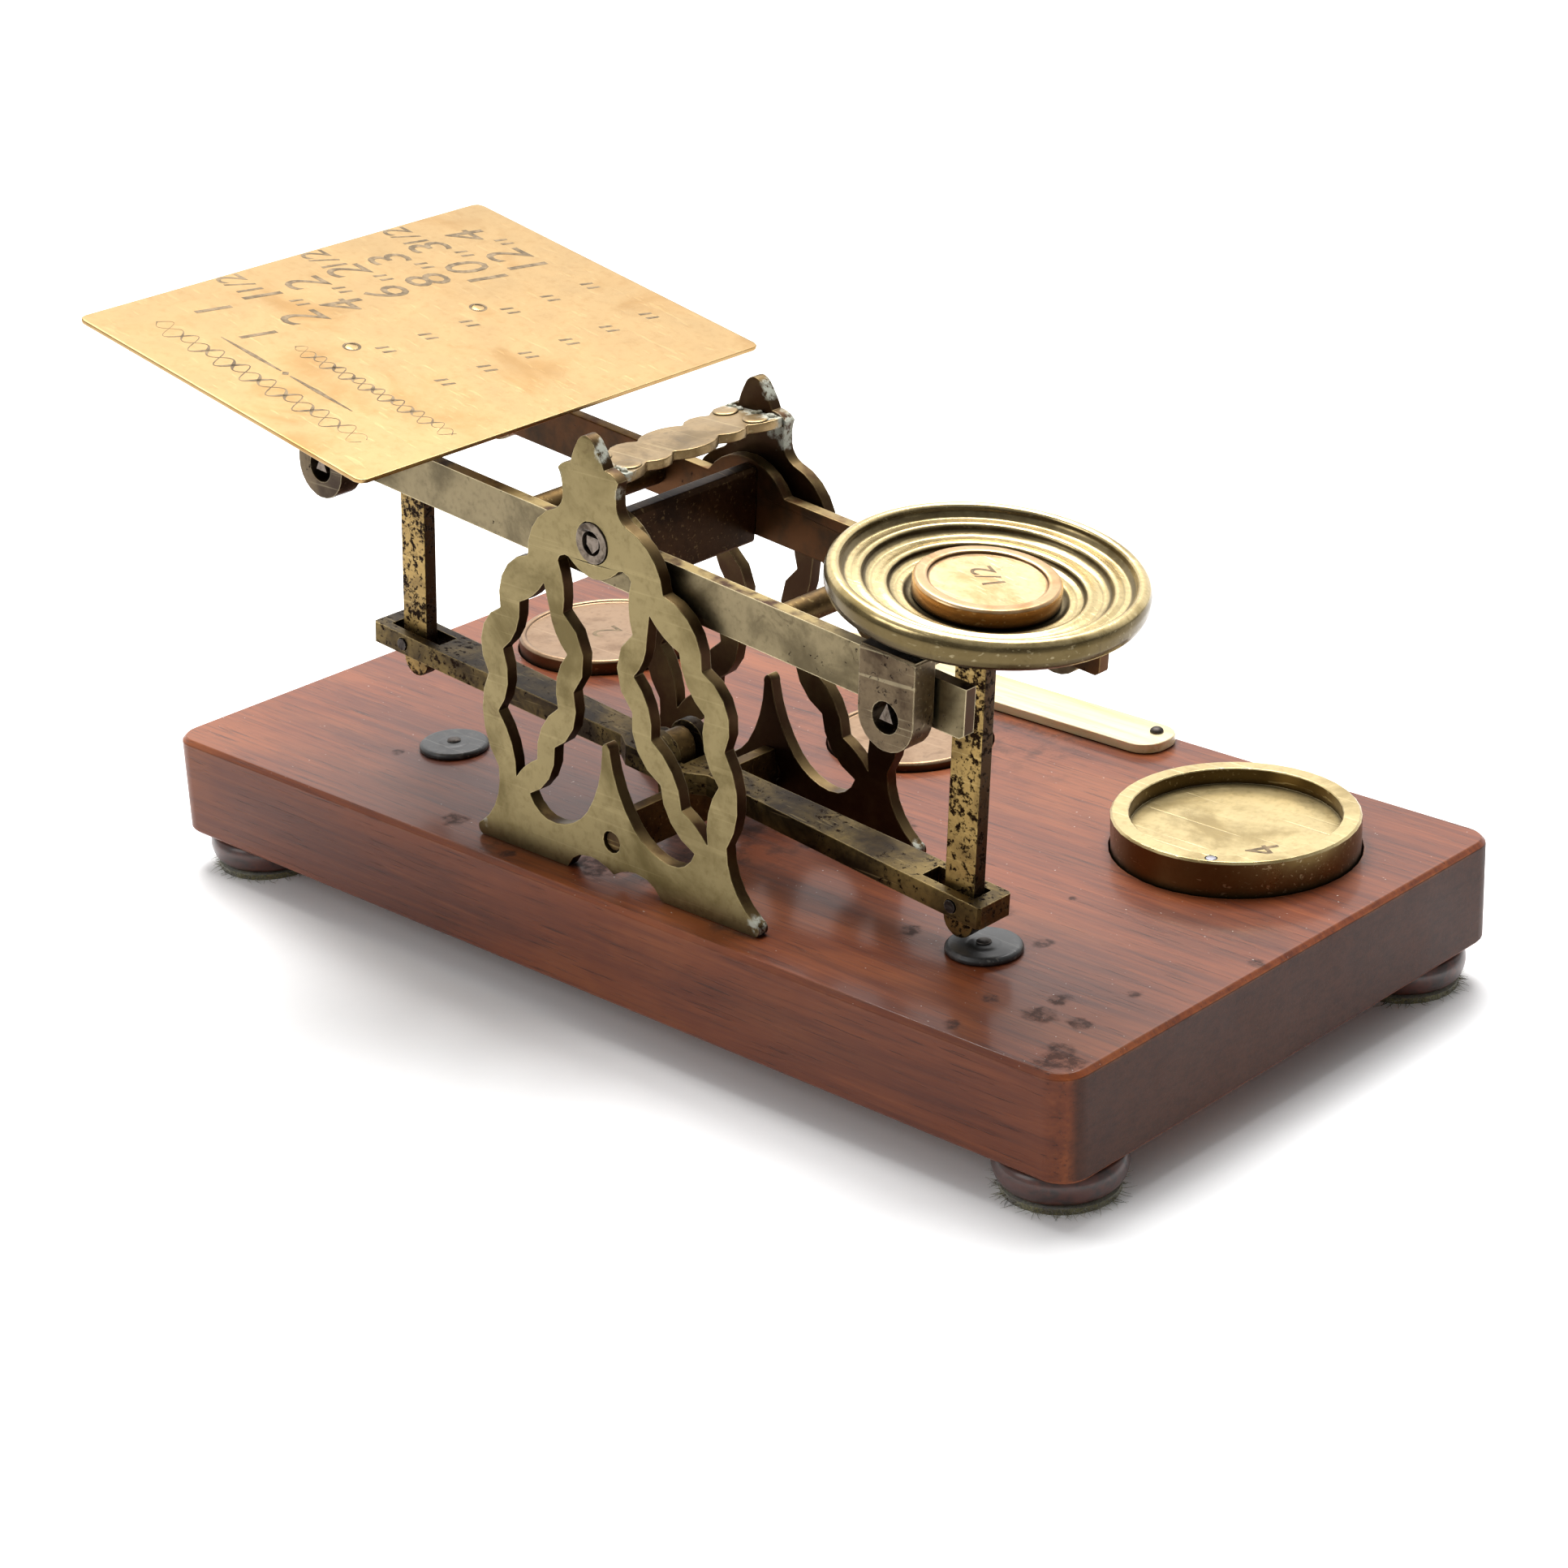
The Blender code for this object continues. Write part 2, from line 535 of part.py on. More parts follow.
def build_pan_carrier():
    top = 9.0
    build_yoke("pan_yoke", 1, top)
    build_stem("pan_stem", 1, top - 1.8 - GAP, -0.5)
    pivot = tuple(end_pivot(1))
    underside = [(1.6, -1.3), (20.6, -1.3), (23.6, -0.6), (25.4, -0.3), (26.4, 0.5)]
    rim = [(26.9, 1.8), (26.9, 3.4), (26.5, 4.5), (25.8, 5.1), (25.0, 5.2), (24.4, 4.9), (24.3, 3.9)]
    steps = [(23.4, 3.0), (22.2, 3.1), (21.2, 3.4), (20.6, 3.1), (20.5, 2.2), (19.5, 1.6), (18.0, 1.7)]
    floor = [(16.9, 2.0), (16.3, 1.7), (16.2, 0.9), (15.2, 0.5), (13.8, 0.6), (13.1, 0.0), (3.2, 0.0)]
    floor += [(3.2, -0.65), (1.6, -0.65)]
    add("weight_pan", lathe(underside + rim + steps + floor, 40), (BRASS, 0.35, 1.0), pan_place(), pivot)
    rivet = [(0.0, -1.3), (1.5, -1.3), (1.5, -0.6), (3.0, -0.6), (3.0, -0.1), (0.0, -0.05)]
    add("pan_rivet", lathe(rivet, 12), (DARK_BRASS, 0.5, 1.0), pan_place(), pivot)


def weight_profile(radius, low, top, recess_radius, recess_depth):
    floor = top - recess_depth
    outside = [(0.0, low), (radius - 0.4, low), (radius, low + 0.4), (radius, top - 0.4)]
    inside = [(recess_radius + 0.2, top), (recess_radius, top - 0.2), (recess_radius, floor)]
    inside = [(radius - 0.4, top), *inside, (0.0, floor)]
    return outside + inside


def build_weights():
    for name, x, radius, low, top, recess, depth in (
        ("weight_two_ounce", -82.0, 18.4, -3.3, 3.0, 16.9, 0.5),
        ("weight_one_ounce", 2.5, 16.0, -2.4, 1.8, 14.6, 0.5),
        ("weight_four_ounce", 81.0, 22.5, -4.0, 6.7, 19.1, 3.0),
    ):
        place = Matrix.Translation((x, WEIGHT_ROW_Y, 0.0))
        shape = lathe(weight_profile(radius, low, top, recess, depth), 40)
        item = add(name, shape, (BRASS, 0.35, 1.0), place, (x, WEIGHT_ROW_Y, low))
        if name == "weight_four_ounce":
            spot = place @ Matrix.Translation((8.9, -18.8, 0.0))
            bore = lathe([(0.0, 5.2), (1.15, 5.2), (1.15, 8.0), (0.0, 8.0)], 12)
            combine(item, "DIFFERENCE", bore, spot)
            plug = lathe([(0.0, 5.3), (1.0, 5.3), (1.0, 6.7), (0.0, 6.8)], 12)
            add("lead_plug", plug, ((0.30, 0.29, 0.31), 0.6, 1.0), spot, (x, WEIGHT_ROW_Y, low))
    half_ounce = lathe(weight_profile(12.4, GAP, 3.6, 9.9, 0.7), 36)
    pivot = tuple(pan_place().translation)
    add("weight_half_ounce", half_ounce, (BRASS, 0.35, 1.0), pan_place(), pivot)


def build():
    clear_scene()
    build_board()
    build_feet()
    build_frames()
    build_top_brace()
    build_lower_cross_bar()
    build_plaque()
    build_stops()
    build_beam()
    build_stay()
    build_plate_carrier()
    build_pan_carrier()
    build_weights()


build()
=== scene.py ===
"""Looks for the brass letter scale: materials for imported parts, finer round pieces, engraving and felt."""

import json
import math
import random

import bpy
import bmesh
from mathutils import Matrix, Vector


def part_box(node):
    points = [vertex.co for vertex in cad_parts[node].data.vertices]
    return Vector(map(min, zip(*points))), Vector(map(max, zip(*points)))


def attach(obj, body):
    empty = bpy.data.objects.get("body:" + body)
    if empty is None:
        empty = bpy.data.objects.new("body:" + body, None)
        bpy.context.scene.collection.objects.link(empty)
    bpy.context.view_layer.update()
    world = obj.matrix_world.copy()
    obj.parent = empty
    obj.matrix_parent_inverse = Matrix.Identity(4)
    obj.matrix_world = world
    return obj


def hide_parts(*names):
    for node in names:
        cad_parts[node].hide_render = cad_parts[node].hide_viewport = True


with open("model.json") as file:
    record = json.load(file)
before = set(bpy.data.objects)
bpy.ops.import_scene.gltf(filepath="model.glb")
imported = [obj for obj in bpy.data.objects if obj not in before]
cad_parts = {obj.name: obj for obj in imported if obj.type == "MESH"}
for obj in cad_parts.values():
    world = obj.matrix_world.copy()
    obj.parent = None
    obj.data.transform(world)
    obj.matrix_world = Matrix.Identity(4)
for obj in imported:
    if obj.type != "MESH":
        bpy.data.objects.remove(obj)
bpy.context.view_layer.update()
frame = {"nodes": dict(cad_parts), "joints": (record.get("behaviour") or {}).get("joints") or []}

# ---- the frame and the driving sizes, in millimetres unless a name says otherwise ---------------

MM = 0.001
LEAN = math.radians(5.0)
PLATE_EXTRA_TILT = math.radians(6.5)
PAN_EXTRA_TILT = math.radians(3.5)
PAN_FLOOR_OVER_KNIVES = 11.4
PLATE_BESIDE_KNIVES = 2.3
PLATE_OVER_KNIVES = 18.2
PLATE_HALF_THICKNESS = 0.4
ENGRAVED_HALF_THICKNESS = 0.012

NODES = frame["nodes"]
JOINTS = {joint["name"]: joint for joint in frame["joints"]}
BASE_LOW, BASE_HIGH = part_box("wooden_base")
BOARD_MIDDLE = (BASE_LOW + BASE_HIGH) / 2
BOARD_TOP = BASE_HIGH.z
CORNERS = [(depth, side) for depth in ("front", "rear") for side in ("left", "right")]
ALONG_X, ALONG_Y, ALONG_Z = range(3)


def over_middle(node, height):
    """The point over the middle of a node's box, at a height in metres."""
    low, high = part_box(node)
    return Vector(((low.x + high.x) / 2, (low.y + high.y) / 2, height))


def carrier_place(joint):
    """The placement of a carrier's parts: at its knives, leaning as both carriers do."""
    return Matrix.Translation(Vector(JOINTS[joint]["pos_m"])) @ Matrix.Rotation(LEAN, 4, "Y")


def pan_place():
    """The placement of the pan, its floor at 0 and bent a little on its carrier."""
    up = Matrix.Translation((0, 0, PAN_FLOOR_OVER_KNIVES * MM))
    return carrier_place("pan_carrier_hinge") @ up @ Matrix.Rotation(PAN_EXTRA_TILT, 4, "Y")


def plate_place():
    """The placement of the letter plate's middle plane, bent a little on its carrier."""
    aside = Matrix.Translation((PLATE_BESIDE_KNIVES * MM, 0, PLATE_OVER_KNIVES * MM))
    return carrier_place("plate_carrier_hinge") @ aside @ Matrix.Rotation(PLATE_EXTRA_TILT, 4, "Y")


# ---- building materials from nodes --------------------------------------------------------------


def colour(code, level=1.0):
    """A linear colour from an sRGB hex code, made darker or lighter by the level."""
    parts = [int(code[i : i + 2], 16) / 255 for i in (0, 2, 4)]
    linear = [c / 12.92 if c <= 0.04045 else ((c + 0.055) / 1.055) ** 2.4 for c in parts]
    return (*[c * level for c in linear], 1.0)


class Finish:
    """Builds one procedural material; every method returns a socket that the next one can take."""

    def __init__(self, name, metallic=0.0, **constants):
        self.material = bpy.data.materials.new(name)
        self.material.use_nodes = True
        self.tree = self.material.node_tree
        self.shader = self.tree.nodes["Principled BSDF"]
        self.place = self.node("ShaderNodeTexCoord").outputs["Object"]
        self.normal = self.node("ShaderNodeNewGeometry").outputs["Normal"]
        self.set("Metallic", metallic)
        for socket, value in constants.items():
            self.set(socket.replace("_", " "), value)

    def node(self, kind, **settings):
        made = self.tree.nodes.new(kind)
        for key, value in settings.items():
            setattr(made, key, value)
        return made

    def feed(self, socket, value):
        """Links the socket to another one, or sets it to a constant."""
        if isinstance(value, bpy.types.NodeSocket):
            self.tree.links.new(value, socket)
        elif value is not None:
            socket.default_value = value

    def set(self, socket, value):
        self.feed(self.shader.inputs[socket], value)

    def calc(self, operation, a, b=None, clamp=False):
        made = self.node("ShaderNodeMath", operation=operation, use_clamp=clamp)
        self.feed(made.inputs[0], a)
        self.feed(made.inputs[1], b)
        return made.outputs[0]

    def plus(self, a, b):
        return self.calc("ADD", a, b)

    def minus(self, a, b, clamp=False):
        return self.calc("SUBTRACT", a, b, clamp)

    def times(self, a, b):
        return self.calc("MULTIPLY", a, b)

    def larger(self, a, b):
        return self.calc("MAXIMUM", a, b)

    def vector(self, operation, a, b=None, output="Vector"):
        made = self.node("ShaderNodeVectorMath", operation=operation)
        self.feed(made.inputs[0], a)
        self.feed(made.inputs[1], b)
        return made.outputs[output]

    def part(self, vector, axis):
        made = self.node("ShaderNodeSeparateXYZ")
        self.feed(made.inputs[0], vector)
        return made.outputs[axis]

    def facing(self, axis):
        """The normal's part along an axis."""
        return self.part(self.normal, axis)

    def noise(self, scale, detail=4.0, rough=0.55, source=None, twist=0.0):
        made = self.node("ShaderNodeTexNoise")
        self.feed(made.inputs["Vector"], source or self.place)
        made.inputs["Scale"].default_value = scale
        made.inputs["Detail"].default_value = detail
        made.inputs["Roughness"].default_value = rough
        made.inputs["Distortion"].default_value = twist
        return made.outputs["Fac"]

    def wander(self, scale, amount, detail=5):
        """Noise that swings to both sides of 0."""
        return self.times(self.minus(self.noise(scale, detail), 0.5), amount)

    def stretched(self, scale, turn=(0, 0, 0)):
        """The object's own coordinates, scaled along each axis and turned."""
        made = self.node("ShaderNodeMapping")
        self.feed(made.inputs["Vector"], self.place)
        made.inputs["Scale"].default_value = scale
        made.inputs["Rotation"].default_value = turn
        return made.outputs["Vector"]

    def streaks(self, scale, detail, rough, twist=0.0):
        """Noise with its own scale along each axis, for grain and fibres."""
        return self.noise(1.0, detail, rough, self.stretched(scale), twist)

    def step(self, value, low, high):
        """0 at low and 1 at high, smoothly; low may be above high."""
        made = self.node("ShaderNodeMapRange", interpolation_type="SMOOTHSTEP")
        self.feed(made.inputs["Value"], value)
        flip = low > high
        made.inputs["From Min"].default_value = min(low, high)
        made.inputs["From Max"].default_value = max(low, high)
        made.inputs["To Min"].default_value = 1.0 if flip else 0.0
        made.inputs["To Max"].default_value = 0.0 if flip else 1.0
        return made.outputs["Result"]

    def between(self, value, low, high):
        """A value from 0 to 1 spread evenly from low to high."""
        made = self.node("ShaderNodeMapRange")
        self.feed(made.inputs["Value"], value)
        made.inputs["To Min"].default_value = low
        made.inputs["To Max"].default_value = high
        return made.outputs["Result"]

    def mix(self, amount, a, b):
        made = self.node("ShaderNodeMix", data_type="RGBA")
        self.feed(made.inputs[0], amount)
        self.feed(made.inputs[6], a)
        self.feed(made.inputs[7], b)
        return made.outputs[2]

    def tint(self, paint, mask, strength, code):
        """Lays a colour over the paint where the mask is 1, as thickly as the strength says."""
        return self.mix(self.times(mask, strength), paint, colour(code))

    def near(self, point, reach, ragged, scale):
        """1 close to a point of the object, fading to 0 at the reach, with a ragged outline."""
        away = self.vector("DISTANCE", self.place, point, "Value")
        return self.step(self.plus(away, self.wander(scale, reach * ragged * 4)), reach, reach * 0.45)

    def near_any(self, spots, ragged, scale):
        """The same for several (point, reach) spots at once."""
        total = None
        for point, reach in spots:
            spot = self.near(point, reach, ragged, scale)
            total = spot if total is None else self.larger(total, spot)
        return total

    def edges(self, radius, low=0.02, high=0.2):
        """1 along convex and concave edges of the solid, 0 on its flats."""
        made = self.node("ShaderNodeBevel", samples=4)
        made.inputs["Radius"].default_value = radius
        alike = self.vector("DOT_PRODUCT", made.outputs["Normal"], self.normal, "Value")
        return self.step(self.minus(1.0, alike), low, high)

    def corners(self, distance, low, high):
        """1 deep in inner corners, under overhangs and close to other parts, where shade falls and dirt
        stays.
        """
        made = self.node("ShaderNodeAmbientOcclusion", samples=8)
        made.inputs["Distance"].default_value = distance
        return self.step(made.outputs["AO"], low, high)

    def scratches(self, density, axis=ALONG_Z):
        """Fine straight hairlines in three directions round an axis."""
        total = None
        for i, angle in enumerate((0.3, 1.2, 2.3)):
            turn = [0.0, 0.0, 0.0]
            turn[axis] = angle
            source = self.stretched([900 * density * v for v in (0.02, 1.0, 1.0)], turn)
            line = self.step(self.noise(1.0 + 0.3 * i, 2, 0.5, source), 0.66, 0.72)
            total = line if total is None else self.larger(total, line)
        return total

    def bump(self, height, depth):
        made = self.node("ShaderNodeBump")
        self.feed(made.inputs["Height"], height)
        made.inputs["Distance"].default_value = depth
        return made.outputs["Normal"]

    def done(self, paint, gloss, height=None, depth=0.0):
        """Connects the colour, the roughness and the bump, and gives the material."""
        self.set("Base Color", paint)
        self.set("Roughness", gloss)
        if height is not None:
            self.set("Normal", self.bump(height, depth))
        return self.material


# ---- brass --------------------------------------------------------------------------------------


def one_bright_side(f, paint, gloss, sides, dark, grain, level):
    """Keeps the paint on the outward face; the other faces get painted shade in dark browns, and faces turned
    upward get a painted highlight in patches.
    """
    outward, inner, edge = sides
    facing = f.times(f.facing(ALONG_Y), float(outward))
    front = f.step(f.plus(facing, f.wander(220 * grain, 0.5)), 0.55, 0.85)
    back = f.step(facing, -0.55, -0.85)
    # The inner and side faces: painted shade in dark browns.
    shaded_inner_paint = f.mix(f.step(f.noise(120 * grain, 6, 0.6), 0.4, 0.7), colour(inner), colour(dark))
    # Faces turned upward get the edge colour in patches: a painted highlight.
    lit = f.times(f.step(f.facing(ALONG_Z), 0.2, 0.8), f.step(f.noise(180 * grain, 6), 0.36, 0.58))
    edge_paint = f.mix(lit, shaded_inner_paint, colour(edge, level))
    paint = f.mix(front, f.mix(back, edge_paint, shaded_inner_paint), paint)
    return paint, f.plus(gloss, f.times(f.minus(1.0, front), 0.08))


def dark_bands(f, paint, gloss, rings, dark):
    """Dark bands round an axis, mostly painted shade in grooves, drops and recesses: (centre, axis, ((radius,
    half width, strength), ...)).
    """
    centre, axis, radii = rings
    across = f.vector("CROSS_PRODUCT", f.vector("SUBTRACT", f.place, centre), axis)
    reach = f.plus(f.vector("LENGTH", across, output="Value"), f.wander(260, 0.5 * MM))
    for radius, width, strength in radii:
        away = f.calc("ABSOLUTE", f.minus(reach, radius * MM))
        band = f.times(f.step(away, width * MM, width * 0.3 * MM), strength)
        paint = f.mix(band, paint, colour(dark))
        gloss = f.plus(gloss, f.times(band, 0.12))
    return paint, gloss


def brass(
    name, clean, tarnish, dark, patina=0.5, grain=1.0, shine=(0.28, 0.5), rims=0.5, rim_colour="e3c98a",
    pits=0.0, sides=None, stains=0.35, marks=0.5, crust=(), grime=0.0, level=1.0, walls=None, rings=None,
):
    """Old brass: clean metal under clouds of tarnish, dark stains, bright worn rims and fine scratches, with
    painted shade on steep sides and in grooves, and darker hollows that are partly dirt, partly painted
    shade.
    """
    f = Finish(name, metallic=1.0)
    clouds = f.step(f.noise(70 * grain, 6, 0.6, twist=0.4), 0.62 - patina * 0.35, 0.78 - patina * 0.2)
    paint = f.mix(clouds, colour(clean, level), colour(tarnish, level))
    fine = f.noise(900 * grain, 4, 0.6)
    paint = f.mix(f.step(fine, 0.45, 0.75), paint, f.mix(0.45, paint, colour(tarnish, level)))
    if walls:
        # Steep faces are tinted with the walls colour: painted shade.
        steep = f.step(f.plus(f.facing(ALONG_Z), f.times(f.noise(200, 5), 0.3)), 0.75, 0.35)
        paint = f.tint(paint, steep, 0.92, walls)
    blots = f.step(f.noise(160 * grain, 7, 0.65, twist=0.8), 0.6, 0.72)
    paint = f.tint(paint, blots, stains, dark)
    scratched = f.scratches(grain, ALONG_Y if sides else ALONG_Z)
    paint = f.tint(paint, scratched, 0.25 * marks, rim_colour)
    gloss = f.between(f.noise(140 * grain, 5, 0.6), *shine)
    height = f.minus(f.times(fine, 0.3), f.times(scratched, 0.3 * marks))
    if sides:
        paint, gloss = one_bright_side(f, paint, gloss, sides, dark, grain, level)
    if rings:
        paint, gloss = dark_bands(f, paint, gloss, rings, dark)
    if pits:
        start = 0.66 - pits * 0.12
        spots = f.step(f.plus(f.noise(800, 8, 0.75), f.wander(90, 0.35, 4)), start, start + 0.04)
        paint = f.mix(spots, paint, colour("23150b"))
        gloss = f.larger(gloss, f.times(spots, 0.75))
        height = f.minus(height, f.times(spots, 0.8))
    worn = f.times(f.edges(0.35 * MM), f.between(f.noise(260, 4), 0.3, 1.0))
    paint = f.tint(paint, worn, rims, rim_colour)
    gloss = f.minus(gloss, f.times(worn, 0.12 * rims))
    # Darker in hollows and close to other parts: partly dirt, partly painted shade.
    if grime:
        dirt_and_shade = f.times(f.corners(2.2 * MM, 0.92, 0.45), grime)
        paint = f.mix(dirt_and_shade, paint, colour("1d140c"))
        gloss = f.plus(gloss, f.times(dirt_and_shade, 0.25))
    metal = 1.0
    for point, reach in crust:
        flake = f.times(f.near(point, reach, 0.5, 420), f.step(f.noise(650, 5, 0.7), 0.38, 0.55))
        paint = f.mix(flake, paint, colour("a9aa9c"))
        gloss = f.larger(gloss, f.times(flake, 0.85))
        metal = f.minus(metal, flake, clamp=True)
        height = f.plus(height, flake)
    f.set("Metallic", metal)
    return f.done(paint, gloss, height, 0.06 * MM)


# ---- wood, felt, steel and the rest -------------------------------------------------------------

# Marks on the board's top, as (x, y, radius) from its middle.
STAINS = (
    (109, -55, 5.0), (96, -39, 2.6), (97, -46, 3.6), (104, -43.5, 2.6), (72.6, -8, 1.1), (86, -46, 2.0),
    (66, -20, 3.0), (80, -24, 2.2), (59, -35, 2.8), (27, -6, 6.0), (3, -8, 6.0), (-3, -51, 6.0),
    (104, -30, 1.6), (-39, -53, 3.0), (-72, -38, 2.0), (113, -8, 2.0), (20, -20, 2.0), (88, -57, 2.0),
    (-20, -57, 2.2),
)
GRIMY = (
    (73.7, -32.7, 10.5), (-65.1, -29.8, 9.5), (5, -32, 24), (34, -52, 7.0), (-26, -52, 7.0), (0, 55, 46),
)


def on_top(spots):
    """The (point, reach) of each mark on the board's top, in metres."""
    return [
        ((BOARD_MIDDLE.x + x * MM, BOARD_MIDDLE.y + y * MM, BOARD_TOP), radius * MM) for x, y, radius in spots
    ]


def mahogany():
    """The polished board: long grain, dark pores, speckled ends, rubbed edges, ink, dirt and dust, with
    painted shade on the front face and in hollows.
    """
    f = Finish("mahogany", Specular_IOR_Level=0.22, Coat_Roughness=0.15, Coat_IOR=1.5)
    upward = f.step(f.facing(ALONG_Z), 0.5, 0.9)
    front = f.step(f.facing(ALONG_Y), -0.5, -0.9)
    end_grain = f.step(f.calc("ABSOLUTE", f.facing(ALONG_X)), 0.7, 0.95)

    bands = f.streaks((11, 230, 230), 6, 0.66, 0.6)
    fibres = f.streaks((34, 1250, 1250), 5, 0.65, 0.3)
    pores = f.step(f.streaks((70, 2300, 2300), 3, 0.6), 0.61, 0.68)
    figure = f.noise(22, 4, 0.6, f.stretched((0.6, 1.6, 1.6)), twist=0.5)
    paint = f.mix(f.step(bands, 0.34, 0.7), colour("793a17"), colour("58250e"))
    paint = f.tint(paint, f.step(figure, 0.46, 0.7), 0.6, "8d4c22")
    paint = f.tint(paint, f.step(figure, 0.46, 0.28), 0.45, "431e0e")
    paint = f.tint(paint, f.step(fibres, 0.5, 0.68), 0.42, "34170b")
    paint = f.tint(paint, f.step(fibres, 0.46, 0.3), 0.3, "924f26")
    paint = f.tint(paint, pores, 0.6, "220c06")
    # The face turned to the front is darkened: painted shade.
    paint = f.tint(paint, front, 0.36, "3a1a10")

    speckle = f.step(f.streaks((1300, 500, 1300), 4, 0.7), 0.42, 0.62)
    end_paint = f.mix(speckle, colour("331c14"), colour("20110b"))
    end_paint = f.tint(end_paint, f.noise(140, 6, 0.7), 0.5, "3c241a")
    paint = f.mix(f.times(end_grain, 0.88), paint, end_paint)

    over_edge = f.minus(f.part(f.place, ALONG_Z), BOARD_TOP - 2.2 * MM)
    top_edge = f.times(f.edges(1.2 * MM, 0.02, 0.16), f.step(over_edge, -0.4 * MM, 1.0 * MM))
    paint = f.tint(paint, f.times(top_edge, f.step(f.noise(70, 6, 0.7), 0.4, 0.62)), 0.75, "b06a38")
    rubbed = f.times(f.edges(1.6 * MM, 0.01, 0.1), f.step(f.noise(110, 6, 0.7), 0.5, 0.66))
    paint = f.tint(paint, rubbed, 0.35, "86491f")

    broken = f.between(f.step(f.noise(560, 6, 0.75), 0.4, 0.56), 0.35, 1.0)
    ink = f.times(f.times(f.near_any(on_top(STAINS), 0.5, 330), upward), broken)
    paint = f.tint(paint, ink, 0.72, "191514")
    ring = f.times(f.near_any(on_top(GRIMY), 0.25, 150), upward)
    grime = f.times(ring, f.step(f.noise(240, 6, 0.7), 0.42, 0.66))
    paint = f.tint(paint, grime, 0.6, "251914")
    # Darker in hollows and round the parts that stand on the board: painted shade.
    paint = f.tint(paint, f.corners(3 * MM, 0.85, 0.4), 0.6, "1c0f0a")
    dust = f.times(f.step(f.noise(1500, 1, 0.5), 0.78, 0.8), upward)
    paint = f.tint(paint, dust, 0.6, "c9bcb0")

    gloss = f.between(f.noise(30, 5, 0.6), 0.34, 0.55)
    gloss = f.plus(gloss, f.times(f.larger(ink, grime), 0.2))
    gloss = f.plus(gloss, f.times(end_grain, 0.12))
    f.set("Coat Weight", f.between(f.minus(upward, ink, clamp=True), 0.04, 0.38))
    lacquer = f.plus(f.noise(120, 4, 0.5), f.times(fibres, 0.35))
    f.set("Coat Normal", f.bump(lacquer, 0.035 * MM))
    return f.done(paint, gloss, f.plus(f.times(pores, -0.7), f.times(fibres, 0.5)), 0.05 * MM)


def foot_wood():
    f = Finish("bun_foot_wood", Coat_Weight=0.5, Coat_Roughness=0.2)
    bands = f.streaks((90, 420, 420), 5, 0.6, 0.6)
    paint = f.mix(f.step(bands, 0.35, 0.7), colour("4a2014"), colour("22100b"))
    paint = f.tint(paint, f.step(f.noise(150, 5, 0.7), 0.55, 0.72), 0.4, "6b3420")
    return f.done(paint, f.between(f.noise(120, 4), 0.35, 0.6), bands, 0.06 * MM)


def felt():
    f = Finish("felt", Sheen_Weight=0.6, Sheen_Roughness=0.6)
    fibres = f.noise(1600, 5, 0.7, twist=1.2)
    paint = f.mix(f.step(fibres, 0.35, 0.65), colour("3a3619"), colour("7c7540"))
    paint = f.mix(f.step(f.noise(220, 4), 0.5, 0.75), paint, colour("3a2c18"))
    return f.done(paint, 0.95, fibres, 0.25 * MM)


def steel(name, pale, dark, shine=(0.3, 0.55)):
    f = Finish(name, metallic=1.0)
    clouds = f.noise(420, 6, 0.65, twist=0.5)
    paint = f.mix(f.step(clouds, 0.4, 0.65), colour(pale), colour(dark))
    paint = f.tint(paint, f.step(f.noise(800, 5, 0.7), 0.6, 0.7), 0.5, "3d2418")
    paint = f.tint(paint, f.edges(0.25 * MM), 0.5, "b9b4ae")
    return f.done(paint, f.between(f.noise(500, 4), *shine), clouds, 0.05 * MM)


def black_paint():
    f = Finish("black_japan", Coat_Weight=0.25, Coat_Roughness=0.3)
    rub = f.noise(330, 6, 0.65)
    paint = f.mix(f.step(rub, 0.5, 0.75), colour("1d1c1b"), colour("4b4743"))
    paint = f.tint(paint, f.scratches(1.2), 0.35, "84807a")
    return f.done(paint, f.between(f.noise(250, 5), 0.38, 0.62), rub, 0.04 * MM)


def bone():
    f = Finish(
        "polished_bone", Coat_Weight=0.4, Coat_Roughness=0.2, Subsurface_Weight=0.15, Subsurface_Scale=0.002
    )
    low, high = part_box("bone_plaque")
    streaks = f.streaks((30, 500, 500), 5, 0.6, 0.4)
    paint = f.mix(f.step(streaks, 0.35, 0.75), colour("ded2ac"), colour("c6b27e"))
    paint = f.tint(paint, f.step(f.part(f.place, ALONG_Y), low.y + 3 * MM, high.y), 0.45, "c79a4c")
    paint = f.tint(paint, f.step(f.streaks((120, 1700, 1700), 3, 0.6), 0.62, 0.7), 0.4, "8a6c3c")
    paint = f.tint(paint, f.edges(0.6 * MM), 0.45, "9d7d43")
    return f.done(paint, f.between(f.noise(90, 4), 0.3, 0.5), streaks, 0.03 * MM)


def lead():
    f = Finish("lead", metallic=1.0)
    clouds = f.noise(900, 5, 0.6)
    paint = f.mix(clouds, colour("a3a1a6"), colour("6f6d72"))
    return f.done(paint, f.between(clouds, 0.45, 0.7), clouds, 0.08 * MM)


# The dark of engraved lines and stamped numerals: painted shade in the cuts.
def engraving_shade():
    f = Finish("engraving_shade", metallic=1.0)
    clouds = f.noise(500, 5, 0.65)
    paint = f.mix(f.step(clouds, 0.35, 0.7), colour("544838"), colour("83725a"))
    return f.done(paint, f.between(clouds, 0.5, 0.75))


def pale_crust():
    f = Finish("pale_crust")
    lumps = f.noise(700, 6, 0.7)
    paint = f.mix(f.step(lumps, 0.4, 0.62), colour("b4b3a6"), colour("6d6a55"))
    paint = f.mix(f.step(f.noise(260, 4), 0.58, 0.7), paint, colour("4f6b57"))
    return f.done(paint, f.between(lumps, 0.55, 0.85), lumps, 0.2 * MM)


